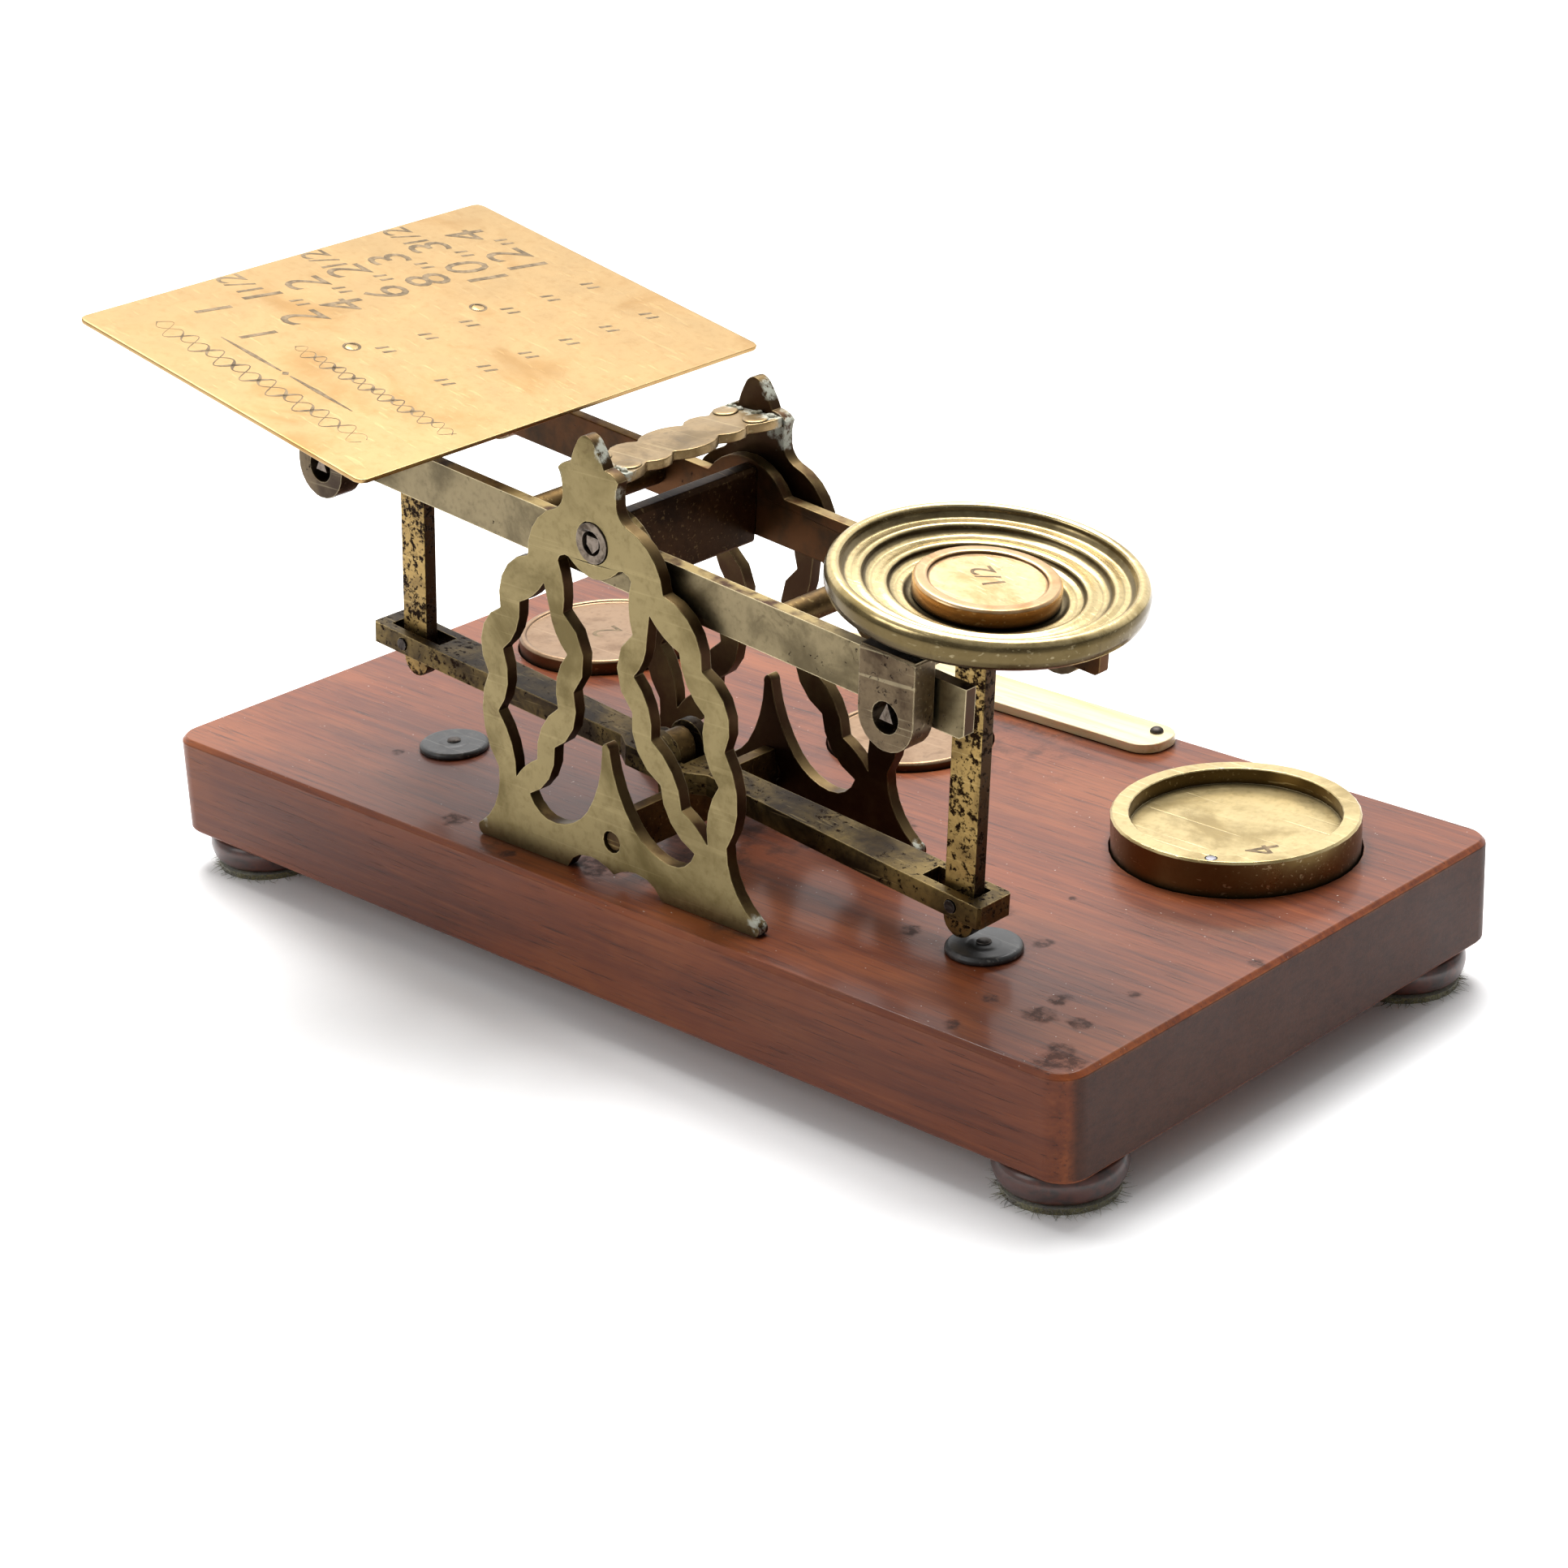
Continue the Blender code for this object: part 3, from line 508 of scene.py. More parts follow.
def paper():
    f = Finish("paper", Specular_IOR_Level=0.25)
    tooth = f.noise(260, 3, 0.5)
    paint = f.mix(tooth, (0.93, 0.93, 0.93, 1.0), (0.96, 0.96, 0.96, 1.0))
    return f.done(paint, 0.75, tooth, 0.02 * MM)


# ---- making objects -----------------------------------------------------------------------------


def shade_smooth(mesh):
    mesh.polygons.foreach_set("use_smooth", [True] * len(mesh.polygons))


def soften(obj, width, segments):
    """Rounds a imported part's sharp edges a little and shades it smoothly."""
    shade_smooth(obj.data)
    if "custom_normal" in obj.data.attributes:
        obj.data.attributes.remove(obj.data.attributes["custom_normal"])
    weld = obj.modifiers.new("weld", "WELD")
    weld.merge_threshold = 0.002 * MM
    bevel = obj.modifiers.new("round_edges", "BEVEL")
    bevel.width = width * MM
    bevel.segments = segments
    bevel.limit_method = "ANGLE"
    bevel.angle_limit = math.radians(32)
    bevel.use_clamp_overlap = True
    bevel.miter_outer = "MITER_ARC"
    smooth = obj.modifiers.new("flat_faces", "WEIGHTED_NORMAL")
    smooth.weight = 80
    smooth.keep_sharp = False


def mesh_of(name, points, faces):
    mesh = bpy.data.meshes.new(name)
    mesh.from_pydata(points, [], faces)
    mesh.validate()
    mesh.update()
    return mesh


def added(name, mesh, body, material):
    """Puts a mesh into the scene as a piece of a body, with its material."""
    obj = bpy.data.objects.new(name, mesh)
    bpy.context.scene.collection.objects.link(obj)
    mesh.materials.append(material)
    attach(obj, body)
    return obj


def on_circle(radius, angle, height):
    """A point on a circle round Z: millimetres in, metres out."""
    return (radius * MM * math.cos(angle), radius * MM * math.sin(angle), height * MM)


# ---- turned pieces ------------------------------------------------------------------------------


def rounded_profile(profile, reach, steps=4):
    """Replaces each inner corner of a (radius, height) profile by a small curve."""
    made = [profile[0]]
    for before, at, after in zip(profile, profile[1:], profile[2:]):
        a, b, c = Vector(before), Vector(at), Vector(after)
        first = b + (a - b).normalized() * min(reach, (a - b).length * 0.45)
        last = b + (c - b).normalized() * min(reach, (c - b).length * 0.45)
        for i in range(steps + 1):
            t = i / steps
            made.append(tuple((1 - t) ** 2 * first + 2 * t * (1 - t) * b + t**2 * last))
    made.append(profile[-1])
    return made


def turned(name, profile, body, material, slot, place, segments, reach, wobble=0.0, seed=1):
    """A turned piece: the profile, in millimetres and bottom to top round the outside, spun about Z."""
    rng = random.Random(seed)
    waves = [(rng.uniform(0, 6.28), rng.choice((2, 3, 5))) for _ in range(3)]
    rounded = rounded_profile(profile, reach)
    points = []
    rows = []
    for radius, height in rounded:
        if radius < 1e-6:
            rows.append([len(points)] * segments)
            points.append((0.0, 0.0, height * MM))
            continue
        rows.append(list(range(len(points), len(points) + segments)))
        for i in range(segments):
            angle = 2 * math.pi * i / segments
            drift = wobble * sum(math.sin(angle * count + phase) for phase, count in waves) / 3
            points.append(on_circle(radius + drift, angle, height))
    open_middle = rounded[0][0] > 1e-6
    pairs = list(zip(rows, rows[1:])) + ([(rows[-1], rows[0])] if open_middle else [])
    faces = []
    for below, above in pairs:
        for i in range(segments):
            j = (i + 1) % segments
            face = tuple(dict.fromkeys((below[i], below[j], above[j], above[i])))
            if len(face) > 2:
                faces.append(face)
    mesh = mesh_of(name, [place @ Vector(p) for p in points], faces)
    shade_smooth(mesh)
    return added(name, mesh, body, material)


def stand_in(node, profile, body, material, slot, place, **more):
    """A finer turned piece that takes the place of a packed one."""
    piece = turned(f"fine_{node}", profile, body, material, slot, place, **more)
    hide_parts(node)


def upright(node):
    """The placement of a round piece that stands on the board, level with the board's top."""
    return Matrix.Translation(over_middle(node, BOARD_TOP))


# ---- engraved and stamped marks: thin solids in metres, from sizes in millimetres ----------------


def written(text, size, shear=0.22):
    """One run of numerals, centred on the origin and leaning by the shear."""
    curve = bpy.data.curves.new("numerals", "FONT")
    curve.body = text
    curve.size = size * MM
    curve.shear = shear
    curve.extrude = ENGRAVED_HALF_THICKNESS * MM
    curve.align_x = "CENTER"
    curve.align_y = "CENTER"
    curve.resolution_u = 3
    helper = bpy.data.objects.new("numerals", curve)
    bpy.context.scene.collection.objects.link(helper)
    bpy.context.view_layer.update()
    mesh = bpy.data.meshes.new_from_object(helper.evaluated_get(bpy.context.evaluated_depsgraph_get()))
    bpy.data.objects.remove(helper)
    bpy.data.curves.remove(curve)
    return mesh


def slab(outline):
    """A flat mark with any outline."""
    count = len(outline)
    levels = (-ENGRAVED_HALF_THICKNESS, ENGRAVED_HALF_THICKNESS)
    points = [(u * MM, v * MM, z * MM) for z in levels for u, v in outline]
    faces = [tuple(range(count))[::-1], tuple(range(count, 2 * count))]
    faces += [(i, (i + 1) % count, count + (i + 1) % count, count + i) for i in range(count)]
    return mesh_of("mark", points, faces)


def scroll(low, high, v, swing, wave):
    """A waved line, thick on its way up and thin on its way down, as a graver cuts it."""
    count = int((high - low) / wave * 14)
    points = []
    for i in range(count + 1):
        u = low + (high - low) * i / count
        phase = 2 * math.pi * (u - low) / wave
        slope = math.cos(phase)
        half = 0.12 + 0.26 * max(0.0, slope) ** 2
        half *= min(1.0, 0.2 + 3 * min(i, count - i) / count)
        middle = Vector((u, v + swing * math.sin(phase)))
        side = Vector((-slope * swing * 2 * math.pi / wave, 1.0)).normalized() * half
        for z in (-ENGRAVED_HALF_THICKNESS, ENGRAVED_HALF_THICKNESS):
            points.append(((middle.x - side.x) * MM, (middle.y - side.y) * MM, z * MM))
            points.append(((middle.x + side.x) * MM, (middle.y + side.y) * MM, z * MM))
    faces = [(0, 1, 3, 2), (4 * count + 1, 4 * count, 4 * count + 2, 4 * count + 3)]
    for i in range(count):
        a, b = 4 * i, 4 * (i + 1)
        faces += [(a, b, b + 1, a + 1), (a + 3, b + 3, b + 2, a + 2)]
        faces += [(a + 1, b + 1, b + 3, a + 3), (a + 2, b + 2, b, a)]
    return mesh_of("scroll", points, faces)


def ring_mark(inside, outside, count=40):
    """A flat ring between two radii."""
    low, high = -ENGRAVED_HALF_THICKNESS, ENGRAVED_HALF_THICKNESS
    points = []
    for i in range(count):
        for radius, z in ((inside, low), (outside, low), (outside, high), (inside, high)):
            points.append(on_circle(radius, 2 * math.pi * i / count, z))
    faces = []
    for i in range(count):
        a, b = 4 * i, 4 * ((i + 1) % count)
        faces += [(a + k, b + k, b + (k + 1) % 4, a + (k + 1) % 4) for k in range(4)]
    return mesh_of("ring", points, faces)


def at(u, v, turn=0.0):
    """The placement of a mark: u and v in millimetres, the turn in degrees."""
    return Matrix.Translation((u * MM, v * MM, 0.0)) @ Matrix.Rotation(math.radians(turn), 4, "Z")


def gathered(name, pieces, body, material, place):
    """One object from many (mesh, matrix) pairs."""
    made = bmesh.new()
    for mesh, matrix in pieces:
        mesh.transform(place @ matrix)
        made.from_mesh(mesh)
        bpy.data.meshes.remove(mesh)
    bmesh.ops.remove_doubles(made, verts=made.verts, dist=1e-7)
    bmesh.ops.recalc_face_normals(made, faces=made.faces)
    mesh = bpy.data.meshes.new(name)
    made.to_mesh(mesh)
    made.free()
    added(name, mesh, body, material)


# One row of the letter plate each: its place up the plate, a weight, a whole rate, and a half or not.
RATE_ROWS = (
    (-14.5, "2", "1", True), (-4.2, "4", "2", False), (6.0, "6", "2", True),
    (16.3, "8", "3", False), (26.6, "10", "3", True), (37.0, "12", "4", False),
)
DITTO = [[(u - 0.55, -1.25), (u, -1.25), (u + 0.855, 1.25), (u + 0.1, 1.25)] for u in (-1.0, 1.0)]
TAPER = [(0.0, -0.12), (9.0, -0.5), (17.0, -0.18), (17.0, 0.18), (9.0, 0.5), (0.0, 0.12)]
DIAMOND = [(-0.8, 0.0), (0.0, -0.8), (0.8, 0.0), (0.0, 0.8)]
RULE_V = -32.7


def rate_table():
    """Plain numbers in rows, read from the far side of the scale."""
    pieces = []
    for v, weight, rate, half in RATE_ROWS:
        weight_u = -16.0 if len(weight) == 1 else -13.4
        pieces.append((written(weight, 12.0), at(weight_u, v, 180)))
        pieces.append((written(rate, 11.4), at(-27.6, v, 180)))
        if half:
            pieces.append((written("1/2", 7.6), at(-34.0, v - 0.6, 180)))
        for u in (2.2, 18.4, -22.2):
            pieces += [(slab(stroke), at(u, v + 3.4, 180)) for stroke in DITTO]
    pieces += [(written("1", 10.5), at(u, -26.0, 180)) for u in (-14.8, -27.8)]
    return pieces


def ornament():
    """A ruled line with a diamond in it, scrolls in the place of words, and a dark ring round each rivet,
    painted shade for the gap round its head.
    """
    pieces = [
        (slab(TAPER), at(-18.5, RULE_V)),
        (slab([(-u, v) for u, v in TAPER[::-1]]), at(18.0, RULE_V)),
        (slab(DIAMOND), at(-0.3, RULE_V)),
    ]
    for low, high, v, swing in ((-8.0, 35.0, -24.2, 1.9), (-30.0, 28.0, -38.6, 2.6)):
        pieces.append((scroll(low, high, v, swing, 2.8 * swing), at(0, 0)))
        pieces.append((scroll(low, high, v + 0.35, -0.55 * swing, 2.8 * swing), at(0, 0)))
    # The rings round the rivets are painted shade.
    return pieces + [(ring_mark(1.3, 1.75), at(-PLATE_BESIDE_KNIVES, v)) for v in (-15.5, 15.5)]


def stamp(name, text, size, body, place, turn):
    """An upright numeral in a weight."""
    pieces = [(written(text, size, shear=0.0), at(0, 0, turn))]
    gathered(name, pieces, body, CUT_SHADE, place)


# ---- felt fibres and old solder -----------------------------------------------------------------


def fringe(name, centre, radius, low, high, seed, fibres=230):
    """Loose fibres that stand out of the side of a felt pad."""
    rng = random.Random(seed)
    points = []
    faces = []
    for _ in range(fibres):
        angle = rng.uniform(0, 2 * math.pi)
        out = Vector((math.cos(angle), math.sin(angle), 0.0))
        side = Vector((-out.y, out.x, 0.0))
        start = centre + out * (radius - 0.4 * MM) + Vector((0, 0, rng.uniform(low, high)))
        long = rng.uniform(0.5, 2.3) ** 1.3 * MM
        bend = rng.uniform(-0.9, 0.9)
        rise = rng.uniform(-0.5, 0.35)
        thick = rng.uniform(0.05, 0.1) * MM
        first = len(points)
        for k in range(4):
            t = k / 3
            spot = start + out * long * t + side * bend * long * t * t + Vector((0, 0, rise * long * t * t))
            spot.z = max(spot.z, thick * 1.1)
            wide = thick * (1 - 0.75 * t)
            for turn in range(3):
                a = 2 * math.pi * turn / 3
                points.append(spot + side * wide * math.cos(a) + Vector((0, 0, wide * math.sin(a))))
        faces.append((first + 2, first + 1, first))
        for k in range(3):
            for turn in range(3):
                a = first + 3 * k + turn
                b = first + 3 * k + (turn + 1) % 3
                faces.append((a, b, b + 3, a + 3))
        faces.append((first + 9, first + 10, first + 11))
    added(name, mesh_of(name, points, faces), "base", FELT)


def lumps(name, spots, seed):
    """Small irregular lumps of old solder, each one a squashed, roughened ball."""
    rng = random.Random(seed)
    made = bmesh.new()
    for centre, size in spots:
        ball = bmesh.ops.create_icosphere(made, subdivisions=3, radius=1.0)
        phases = [rng.uniform(0, 6.28) for _ in range(6)]
        for vert in ball["verts"]:
            p = vert.co.copy()
            rough = 1 + 0.12 * math.sin(5 * p.x + phases[0]) * math.sin(4 * p.y + phases[1])
            rough += 0.09 * math.sin(9 * p.y + phases[2]) * math.sin(8 * p.z + phases[3])
            rough += 0.05 * math.sin(15 * p.x + phases[4]) * math.sin(13 * p.z + phases[5])
            swollen = Vector((p.x * size[0], p.y * size[1], p.z * size[2])) * rough
            vert.co = Vector(centre) + swollen * MM
    mesh = bpy.data.meshes.new(name)
    made.to_mesh(mesh)
    made.free()
    shade_smooth(mesh)
    added(name, mesh, "base", CRUST)


# ---- the finishes -------------------------------------------------------------------------------

FRONT_LOW, FRONT_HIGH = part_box("front_frame")
REAR_LOW, REAR_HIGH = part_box("rear_frame")
FRAME_X = (FRONT_LOW.x + FRONT_HIGH.x) / 2
PAN_UP = (pan_place().to_3x3() @ Vector((0, 0, 1))).normalized()


def frame_finish(side, outward, low, high, top_spot):
    """A side frame's brass, with old solder at its joints; the top spots have their own radius."""
    solder = [
        (-7.4, 75, top_spot), (7.4, 75, top_spot), (-35, 4, 2.4), (35, 2, 2.0), (3, 82, 2.4),
    ]
    middle = (low.y + high.y) / 2
    crust = [((FRAME_X + u * MM, middle, BOARD_TOP + v * MM), reach * MM) for u, v, reach in solder]
    # The side colours are painted shade for the inner faces and a painted highlight for the tops.
    return brass(
        f"{side}_frame_brass", "b3a070", "837246", "4c3c24", grain=0.8, shine=(0.28, 0.46), rims=0.8,
        rim_colour="e0cb98", sides=(outward, "3a2617", "8c744c"), stains=0.6, marks=0.2, crust=crust,
        level=0.44,
    )


MAHOGANY = mahogany()
FOOT_WOOD = foot_wood()
FELT = felt()
IRON = black_paint()
STEEL = steel("knife_steel", "776c62", "33291f")
DARK_STEEL = steel("dark_steel", "4d4743", "201a17", (0.4, 0.65))
BEARING_STEEL = steel("bearing_steel", "7b6f62", "40362d", (0.35, 0.6))
BONE = bone()
LEAD = lead()
CUT_SHADE = engraving_shade()
CRUST = pale_crust()
FRONT_BRASS = frame_finish("front", -1, FRONT_LOW, FRONT_HIGH, 1.6)
REAR_BRASS = frame_finish("rear", 1, REAR_LOW, REAR_HIGH, 4.5)
BRACE_SPOTS = [
    ((FRAME_X + u * MM, y, FRONT_HIGH.z - 6 * MM), 3.6 * MM)
    for u in (-5, 0, 5)
    for y in (FRONT_HIGH.y, REAR_LOW.y)
]
BRACE_BRASS = brass(
    "brace_brass", "c0a376", "8a7148", "3a2b1c", patina=0.45, stains=0.5, rims=0.7, rim_colour="e6d3a6",
    grime=0.5, crust=BRACE_SPOTS, level=0.55,
)
DARK_BRASS = brass(
    "dark_brass", "6b5532", "3d2d1c", "1a120c", patina=0.6, shine=(0.4, 0.6), rims=0.45, pits=0.3, grime=0.5,
)
# Very dark browns: painted shade for the plate between the beam's bars.
CENTRE_BRASS = brass(
    "centre_brass", "3d2a1b", "24170f", "120b07", patina=0.55, shine=(0.3, 0.5), rims=0.8,
    rim_colour="c8ae78", stains=0.5,
)
# The bars' side colours: painted shade on the inner faces and a painted highlight on the tops.
FRONT_BAR_BRASS = brass(
    "beam_front_brass", "968767", "665a42", "33271b", shine=(0.24, 0.44), rims=0.85, rim_colour="f0dfb4",
    pits=0.1, sides=(-1, "3a2415", "b09a68"), stains=0.5, marks=0.0, level=0.6,
)
REAR_BAR_BRASS = brass(
    "beam_rear_brass", "968767", "665a42", "33271b", patina=0.55, shine=(0.3, 0.5), rims=0.7,
    rim_colour="c8ae78", pits=0.12, sides=(1, "54361f", "9b855a"), stains=0.5, marks=0.15, level=0.62,
)
YOKE_BRASS = brass(
    "yoke_brass", "a48d6e", "5d4836", "2c1f18", patina=0.55, shine=(0.24, 0.5), rims=0.7,
    rim_colour="efe0b6", pits=0.5, stains=0.9, grime=0.8, level=0.29,
)
# The stems' side colours: painted shade on the inner faces and a painted highlight on the tops.
STEM_BRASS = brass(
    "stem_brass", "d0ad6a", "94784a", "3a2716", patina=0.45, shine=(0.26, 0.46), rims=0.6, pits=1.15,
    sides=(-1, "3d2c1c", "6b5433"), level=0.45,
)
STAY_BRASS = brass(
    "stay_brass", "8f7848", "372b1e", "17110d", patina=0.85, shine=(0.3, 0.55), rims=0.8,
    rim_colour="d8bf88", pits=0.7, stains=0.9, grime=0.6, level=0.55,
)
PLATE_BRASS = brass(
    "plate_brass", "dab47a", "c69a5c", "7a6038", patina=0.34, grain=0.7, shine=(0.26, 0.36), rims=0.9,
    rim_colour="d8bd88", stains=0.07, marks=0.4, level=0.565,
)
# Dark bands at the pan's grooves and drops, as painted shade: (radius, half width, strength).
PAN_RINGS = (
    (23.8, 0.6, 0.7), (22.3, 0.25, 0.3), (20.3, 0.5, 0.75), (19.0, 0.3, 0.35), (16.1, 0.45, 0.75),
    (14.8, 0.3, 0.35), (12.9, 0.4, 0.6),
)
# The pan's steep sides get painted shade, and its hollows are darkened, partly as painted shade.
PAN_BRASS = brass(
    "pan_brass", "d8c28e", "a5905f", "281c10", patina=0.42, shine=(0.18, 0.32), rims=0.6,
    rim_colour="f4e6bc", stains=0.3, grime=0.9, level=0.9, walls="4a3e26",
    rings=(pan_place().translation, PAN_UP, PAN_RINGS),
)
# Painted shade on the weight's steep sides; its hollows are darkened, partly as painted shade.
WEIGHT_BRASS = brass(
    "weight_brass", "cdb886", "a08b5c", "55432a", patina=0.42, shine=(0.22, 0.38), rims=0.8,
    rim_colour="f4e7c0", stains=0.28, marks=0.8, grime=0.8, walls="5c4a2a",
)
# Its dark rings: painted shade at the recess wall (9.7 mm) and a wide darkening over the crown (11.15 mm);
# its steep sides get painted shade too.
COPPER_BRASS = brass(
    "half_ounce_brass", "e6c294", "bf945f", "50361f", patina=0.4, shine=(0.22, 0.36), rims=0.7,
    rim_colour="f8e2bc", stains=0.3, grime=0.9, walls="6e4a26", level=0.9,
    rings=(pan_place().translation, PAN_UP, ((11.15, 1.3, 0.5), (9.7, 0.3, 0.6))),
)
# Painted shade on the weights' steep sides; their hollows are darkened, partly as painted shade.
DULL_BRASS = brass(
    "dull_weight_brass", "c9a684", "9d7a5a", "4a3120", patina=0.4, shine=(0.34, 0.46), rims=0.6,
    rim_colour="ecd0ac", stains=0.3, marks=0.4, grime=0.9, walls="5a3d25", level=0.52,
)

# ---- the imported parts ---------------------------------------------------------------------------

KNIVES = [
    f"{place}_knife_{side}" for place in ("fulcrum", "plate_end", "pan_end") for side in ("front", "rear")
]
# Nodes, material, rounding of the edges in millimetres (0 leaves them as packed) and its segments.
LOOKS = (
    (["wooden_base"], MAHOGANY, 0.8, 4),
    (["front_frame"], FRONT_BRASS, 0.22, 2),
    (["rear_frame"], REAR_BRASS, 0.22, 2),
    (["front_bearing", "rear_bearing"], BEARING_STEEL, 0.15, 2),
    (["top_brace"], BRACE_BRASS, 0.25, 2),
    (["lower_cross_bar", "cross_bar_screw_front", "cross_bar_screw_rear"], DARK_BRASS, 0.2, 2),
    (["stay_pivot_pin", "stay_pin_plate_side", "stay_pin_pan_side"], DARK_STEEL, 0.2, 2),
    (["bone_plaque"], BONE, 0.4, 3),
    (["beam_front_bar"], FRONT_BAR_BRASS, 0, 0),
    (["beam_rear_bar"], REAR_BAR_BRASS, 0.2, 2),
    (["beam_centre_plate"], CENTRE_BRASS, 0.2, 2),
    (["beam_cross_rod_plate_side", "beam_cross_rod_pan_side"], DARK_BRASS, 0.2, 2),
    (KNIVES, STEEL, 0.08, 1),
    (["stay_bar"], STAY_BRASS, 0.25, 2),
    (["letter_plate_yoke", "pan_yoke"], YOKE_BRASS, 0.35, 2),
    (["letter_plate_stem", "pan_stem"], STEM_BRASS, 0.25, 2),
    (["letter_plate"], PLATE_BRASS, 0.18, 2),
    (["letter_plate_rivet_front", "letter_plate_rivet_rear"], PLATE_BRASS, 0.1, 1),
    (["pan_rivet"], DARK_BRASS, 0.1, 1),
    (["weight_four_ounce"], WEIGHT_BRASS, 0.3, 3),
    (["lead_plug"], LEAD, 0.15, 2),
    ([f"felt_pad_{depth}_{side}" for depth, side in CORNERS], FELT, 0, 0),
)
for names, material, width, segments in LOOKS:
    for name in names:
        NODES[name].data.materials.clear()
        NODES[name].data.materials.append(material)
        if width:
            soften(NODES[name], width, segments)

# ---- finer round pieces that stand for packed ones, as (radius, height) profiles -----------------

BUN = [
    (0.0, -27.0), (8.6, -27.0), (9.9, -26.7), (11.0, -25.5), (11.55, -23.6), (11.5, -22.4), (10.9, -21.2),
    (9.6, -20.6), (9.3, -20.1), (0.0, -20.1),
]
STOP_DISC = [
    (0.0, 0.1), (6.7, 0.1), (6.84, 0.3), (6.82, 0.85), (6.4, 1.25), (5.9, 1.35), (3.2, 1.2), (2.6, 1.4),
    (1.9, 1.45), (0.0, 1.45),
]
STOP_NAIL = [(0.0, 1.55), (1.3, 1.55), (1.38, 1.62), (1.15, 1.8), (0.7, 1.93), (0.0, 1.98)]
PLAQUE_PIN = [(0.0, 2.1), (1.3, 2.1), (1.34, 2.25), (1.2, 2.6), (0.8, 2.92), (0.35, 3.06), (0.0, 3.08)]
BRACE_RIVET = [(0.0, 77.86), (2.3, 77.86), (2.35, 77.98), (2.1, 78.14), (1.2, 78.2), (0.0, 78.16)]
PAN = [
    (1.6, -1.28), (20.6, -1.28), (23.6, -0.6), (25.4, -0.28), (26.35, 0.5), (26.85, 1.8), (26.88, 3.4),
    (26.5, 4.5), (25.8, 5.08), (25.0, 5.18), (24.4, 4.85), (24.2, 3.9), (23.4, 3.05), (22.3, 3.1),
    (21.3, 3.4), (20.7, 3.15), (20.45, 2.25), (19.5, 1.62), (18.0, 1.7), (17.0, 1.98), (16.35, 1.75),
    (16.1, 0.95), (15.2, 0.52), (13.8, 0.6), (13.1, 0.02), (9.2, 0.0), (9.05, -0.06), (8.9, 0.0), (3.2, 0.0),
    (3.2, -0.62), (1.6, -0.62),
]
HALF_OUNCE_TOP = 3.6
HALF_OUNCE_RECESS = 0.7
OUNCE_RECESS = 0.5


def weight_outline(radius, low, top, recess, depth):
    """The profile of a disc weight with a rim round a recess of its own radius and depth."""
    floor = top - depth
    outside = [(0.0, low), (radius - 0.35, low), (radius - 0.02, low + 0.35), (radius - 0.02, top - 0.5)]
    crown = [
        (radius - 0.45, top - 0.04), (radius - 0.8, top), (recess + 0.35, top), (recess + 0.05, top - 0.18),
    ]
    inside = [(recess, floor + 0.12), (recess - 0.25, floor), (recess * 0.5, floor - 0.02), (0.0, floor)]
    return outside + crown + inside


for index, (depth, side) in enumerate(CORNERS):
    node = f"bun_foot_{depth}_{side}"
    turning = {"segments": 72, "reach": 0.9, "wobble": 0.05, "seed": index}
    stand_in(node, BUN, "base", FOOT_WOOD, "dark_wood", upright(node), **turning)
    pad = f"felt_pad_{depth}_{side}"
    low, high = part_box(pad)
    radius = (high.x - low.x) / 2
    inset = 0.12 * MM
    name = f"felt_fringe_{depth}_{side}"
    fringe(name, over_middle(pad, 0.0), radius, low.z + inset, high.z - inset, 40 + index)

for side in ("plate", "pan"):
    node = f"stop_disc_{side}_side"
    turning = {"segments": 64, "reach": 0.3, "wobble": 0.06, "seed": 7}
    stand_in(node, STOP_DISC, "base", IRON, "black_iron", upright(node), **turning)
    node = f"stop_nail_{side}_side"
    stand_in(node, STOP_NAIL, "base", DARK_STEEL, "black_iron", upright(node), segments=32, reach=0.1)

for side in ("left", "right"):
    node = f"plaque_pin_{side}"
    turning = {"segments": 40, "reach": 0.25, "wobble": 0.02, "seed": 9}
    stand_in(node, PLAQUE_PIN, "base", DARK_STEEL, "black_iron", upright(node), **turning)

for depth, side in CORNERS:
    node = f"brace_rivet_{depth}_{side}"
    turning = {"segments": 40, "reach": 0.3, "wobble": 0.06, "seed": 11}
    stand_in(node, BRACE_RIVET, "base", BRACE_BRASS, "dark_brass", upright(node), **turning)

stand_in("weight_pan", PAN, "pan_carrier", PAN_BRASS, "pan_brass", pan_place(), segments=128, reach=0.35)

for name, radius, low, top, recess in (("two", 18.4, -3.3, 3.0, 16.9), ("one", 16.0, -2.4, 1.8, 14.6)):
    node = f"weight_{name}_ounce"
    profile = weight_outline(radius, low, top, recess, OUNCE_RECESS)
    turning = {"segments": 128, "reach": 0.25}
    stand_in(node, profile, f"{name}_ounce", DULL_BRASS, "weight_brass", upright(node), **turning)

profile = weight_outline(12.4, 0.1, HALF_OUNCE_TOP, 9.9, HALF_OUNCE_RECESS)
turning = {"segments": 112, "reach": 0.25}
stand_in("weight_half_ounce", profile, "half_ounce", COPPER_BRASS, "weight_brass", pan_place(), **turning)

# ---- engraving, numerals and solder -------------------------------------------------------------

on_plate = Matrix.Translation((0, 0, (PLATE_HALF_THICKNESS + ENGRAVED_HALF_THICKNESS) * MM))
engraving = rate_table() + ornament()
gathered("letter_plate_engraving", engraving, "plate_carrier", CUT_SHADE, plate_place() @ on_plate)

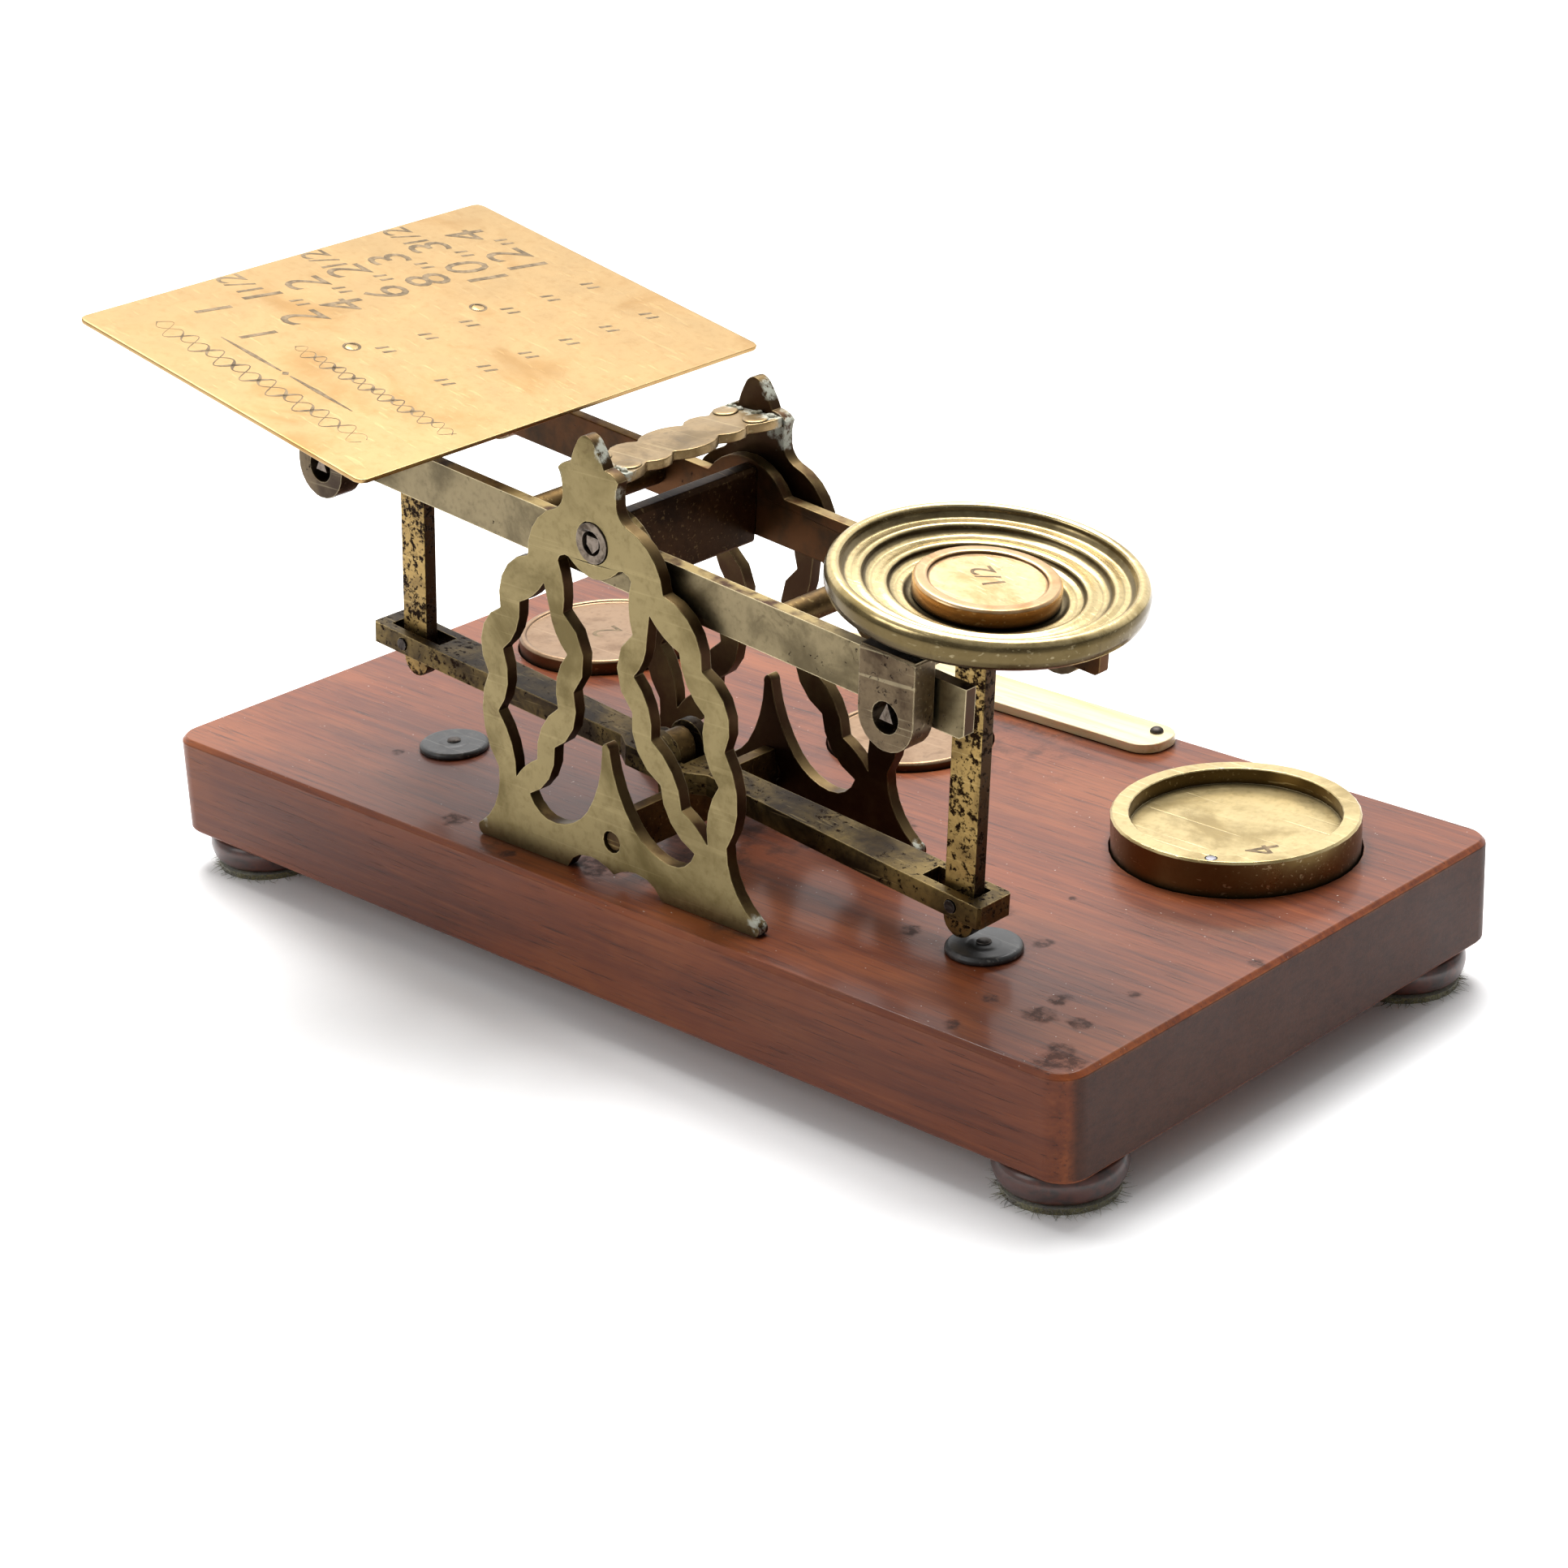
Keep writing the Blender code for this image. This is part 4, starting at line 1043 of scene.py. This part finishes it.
# One numeral in each weight's recess: its size, place beside the middle, drop below the rim, and turn.
for name, text, size, aside, drop, turn in (
    ("four", "4", 9.0, (10.5, -5.0), 3.0, 150),
    ("two", "2", 9.0, (0.0, 0.0), 0.52, 165),
    ("one", "1", 8.0, (1.0, 0.5), 0.52, 140),
):
    node = f"weight_{name}_ounce"
    rim = over_middle(node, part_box(node)[1].z)
    spot = rim + Vector((*aside, ENGRAVED_HALF_THICKNESS - drop)) * MM
    stamp(f"{name}_ounce_numeral", text, size, f"{name}_ounce", Matrix.Translation(spot), turn)
half_floor = Matrix.Translation(Vector((-1.0, 1.5, HALF_OUNCE_TOP - HALF_OUNCE_RECESS + 0.01)) * MM)
stamp("half_ounce_numeral", "1/2", 6.0, "half_ounce", pan_place() @ half_floor, 155)

brace_low, brace_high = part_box("top_brace")
for side, edge, inward, seed in (("front", brace_low.y, 1, 21), ("rear", brace_high.y, -1, 22)):
    rng = random.Random(seed)
    spots = []
    for _ in range(9):
        x = FRAME_X + rng.uniform(-5.6, 5.6) * MM
        y = edge + inward * rng.uniform(0.4, 1.1) * MM
        z = brace_high.z + rng.uniform(0.0, 0.2) * MM
        spots.append(((x, y, z), (rng.uniform(0.4, 1.0), rng.uniform(0.3, 0.7), rng.uniform(0.25, 0.5))))
    lumps(f"brace_solder_{side}", spots, seed)

# ---- camera, floor and light --------------------------------------------------------------------

AZIMUTH = math.radians(44.62)
ELEVATION = math.radians(23.51)
ROLL = math.radians(-2.55)
CAMERA_FROM_BOARD = Vector((445.17, -455.87, 276.9)) * MM
FOCAL_LENGTH = 84.32
SENSOR_WIDTH = 36.0
FLOOR_REACH = 6
LAMP_TARGET = Vector((0, 0, 0.05))
BRIGHT_SIDE = Vector((-0.62, 0.62, 0.48))


def add_camera():
    """The photograph's camera, aimed by its azimuth, elevation and roll."""
    right = Vector((math.cos(AZIMUTH), math.sin(AZIMUTH), 0.0))
    level = math.cos(ELEVATION)
    back = Vector((math.sin(AZIMUTH) * level, -math.cos(AZIMUTH) * level, math.sin(ELEVATION)))
    above = back.cross(right)
    rolled_right = right * math.cos(ROLL) + above * math.sin(ROLL)
    rolled_above = above * math.cos(ROLL) - right * math.sin(ROLL)
    lens = bpy.data.cameras.new("camera")
    lens.sensor_width = SENSOR_WIDTH
    lens.lens = FOCAL_LENGTH
    lens.clip_start = 0.02
    camera = bpy.data.objects.new("camera", lens)
    place = Matrix((rolled_right, rolled_above, back)).transposed().to_4x4()
    place.translation = Vector((BOARD_MIDDLE.x, BOARD_MIDDLE.y, BOARD_TOP)) + CAMERA_FROM_BOARD
    camera.matrix_world = place
    bpy.context.scene.collection.objects.link(camera)
    bpy.context.scene.camera = camera


def add_floor():
    corners = [(x * FLOOR_REACH, y * FLOOR_REACH, 0) for x, y in ((-1, -1), (1, -1), (1, 1), (-1, 1))]
    mesh = mesh_of("floor", corners, [(0, 1, 2, 3)])
    mesh.materials.append(paper())
    floor = bpy.data.objects.new("floor", mesh)
    bpy.context.scene.collection.objects.link(floor)


def soft_light(name, position, power, side):
    """A square lamp that faces the scale."""
    light = bpy.data.lights.new(name, "AREA")
    light.shape = "SQUARE"
    light.size = side
    light.energy = power
    lamp = bpy.data.objects.new(name, light)
    lamp.location = position
    lamp.rotation_mode = "QUATERNION"
    lamp.rotation_quaternion = (Vector(position) - LAMP_TARGET).to_track_quat("Z", "Y")
    bpy.context.scene.collection.objects.link(lamp)


def add_room_light():
    """White light from all round, strongest from behind the scale on the left."""
    world = bpy.data.worlds.new("studio")
    world.use_nodes = True
    tree = world.node_tree
    direction = tree.nodes.new("ShaderNodeTexCoord").outputs["Generated"]
    toward = tree.nodes.new("ShaderNodeVectorMath")
    toward.operation = "DOT_PRODUCT"
    toward.inputs[1].default_value = BRIGHT_SIDE.normalized()
    tree.links.new(direction, toward.inputs[0])
    rise = tree.nodes.new("ShaderNodeMapRange")
    rise.interpolation_type = "SMOOTHSTEP"
    for name, value in (("From Min", 0.2), ("From Max", 0.8), ("To Min", 0.3), ("To Max", 1.35)):
        rise.inputs[name].default_value = value
    tree.links.new(toward.outputs["Value"], rise.inputs["Value"])
    background = tree.nodes["Background"]
    tree.links.new(rise.outputs["Result"], background.inputs["Strength"])
    background.inputs["Color"].default_value = (1.0, 1.0, 1.0, 1.0)
    bpy.context.scene.world = world


add_camera()
add_floor()
soft_light("key", (-0.38, 0.38, 1.4), 40.0, 1.05)
soft_light("front_fill", (-0.5, -1.3, 0.9), 6.0, 0.8)
add_room_light()
bpy.context.scene.view_settings.view_transform = "Standard"
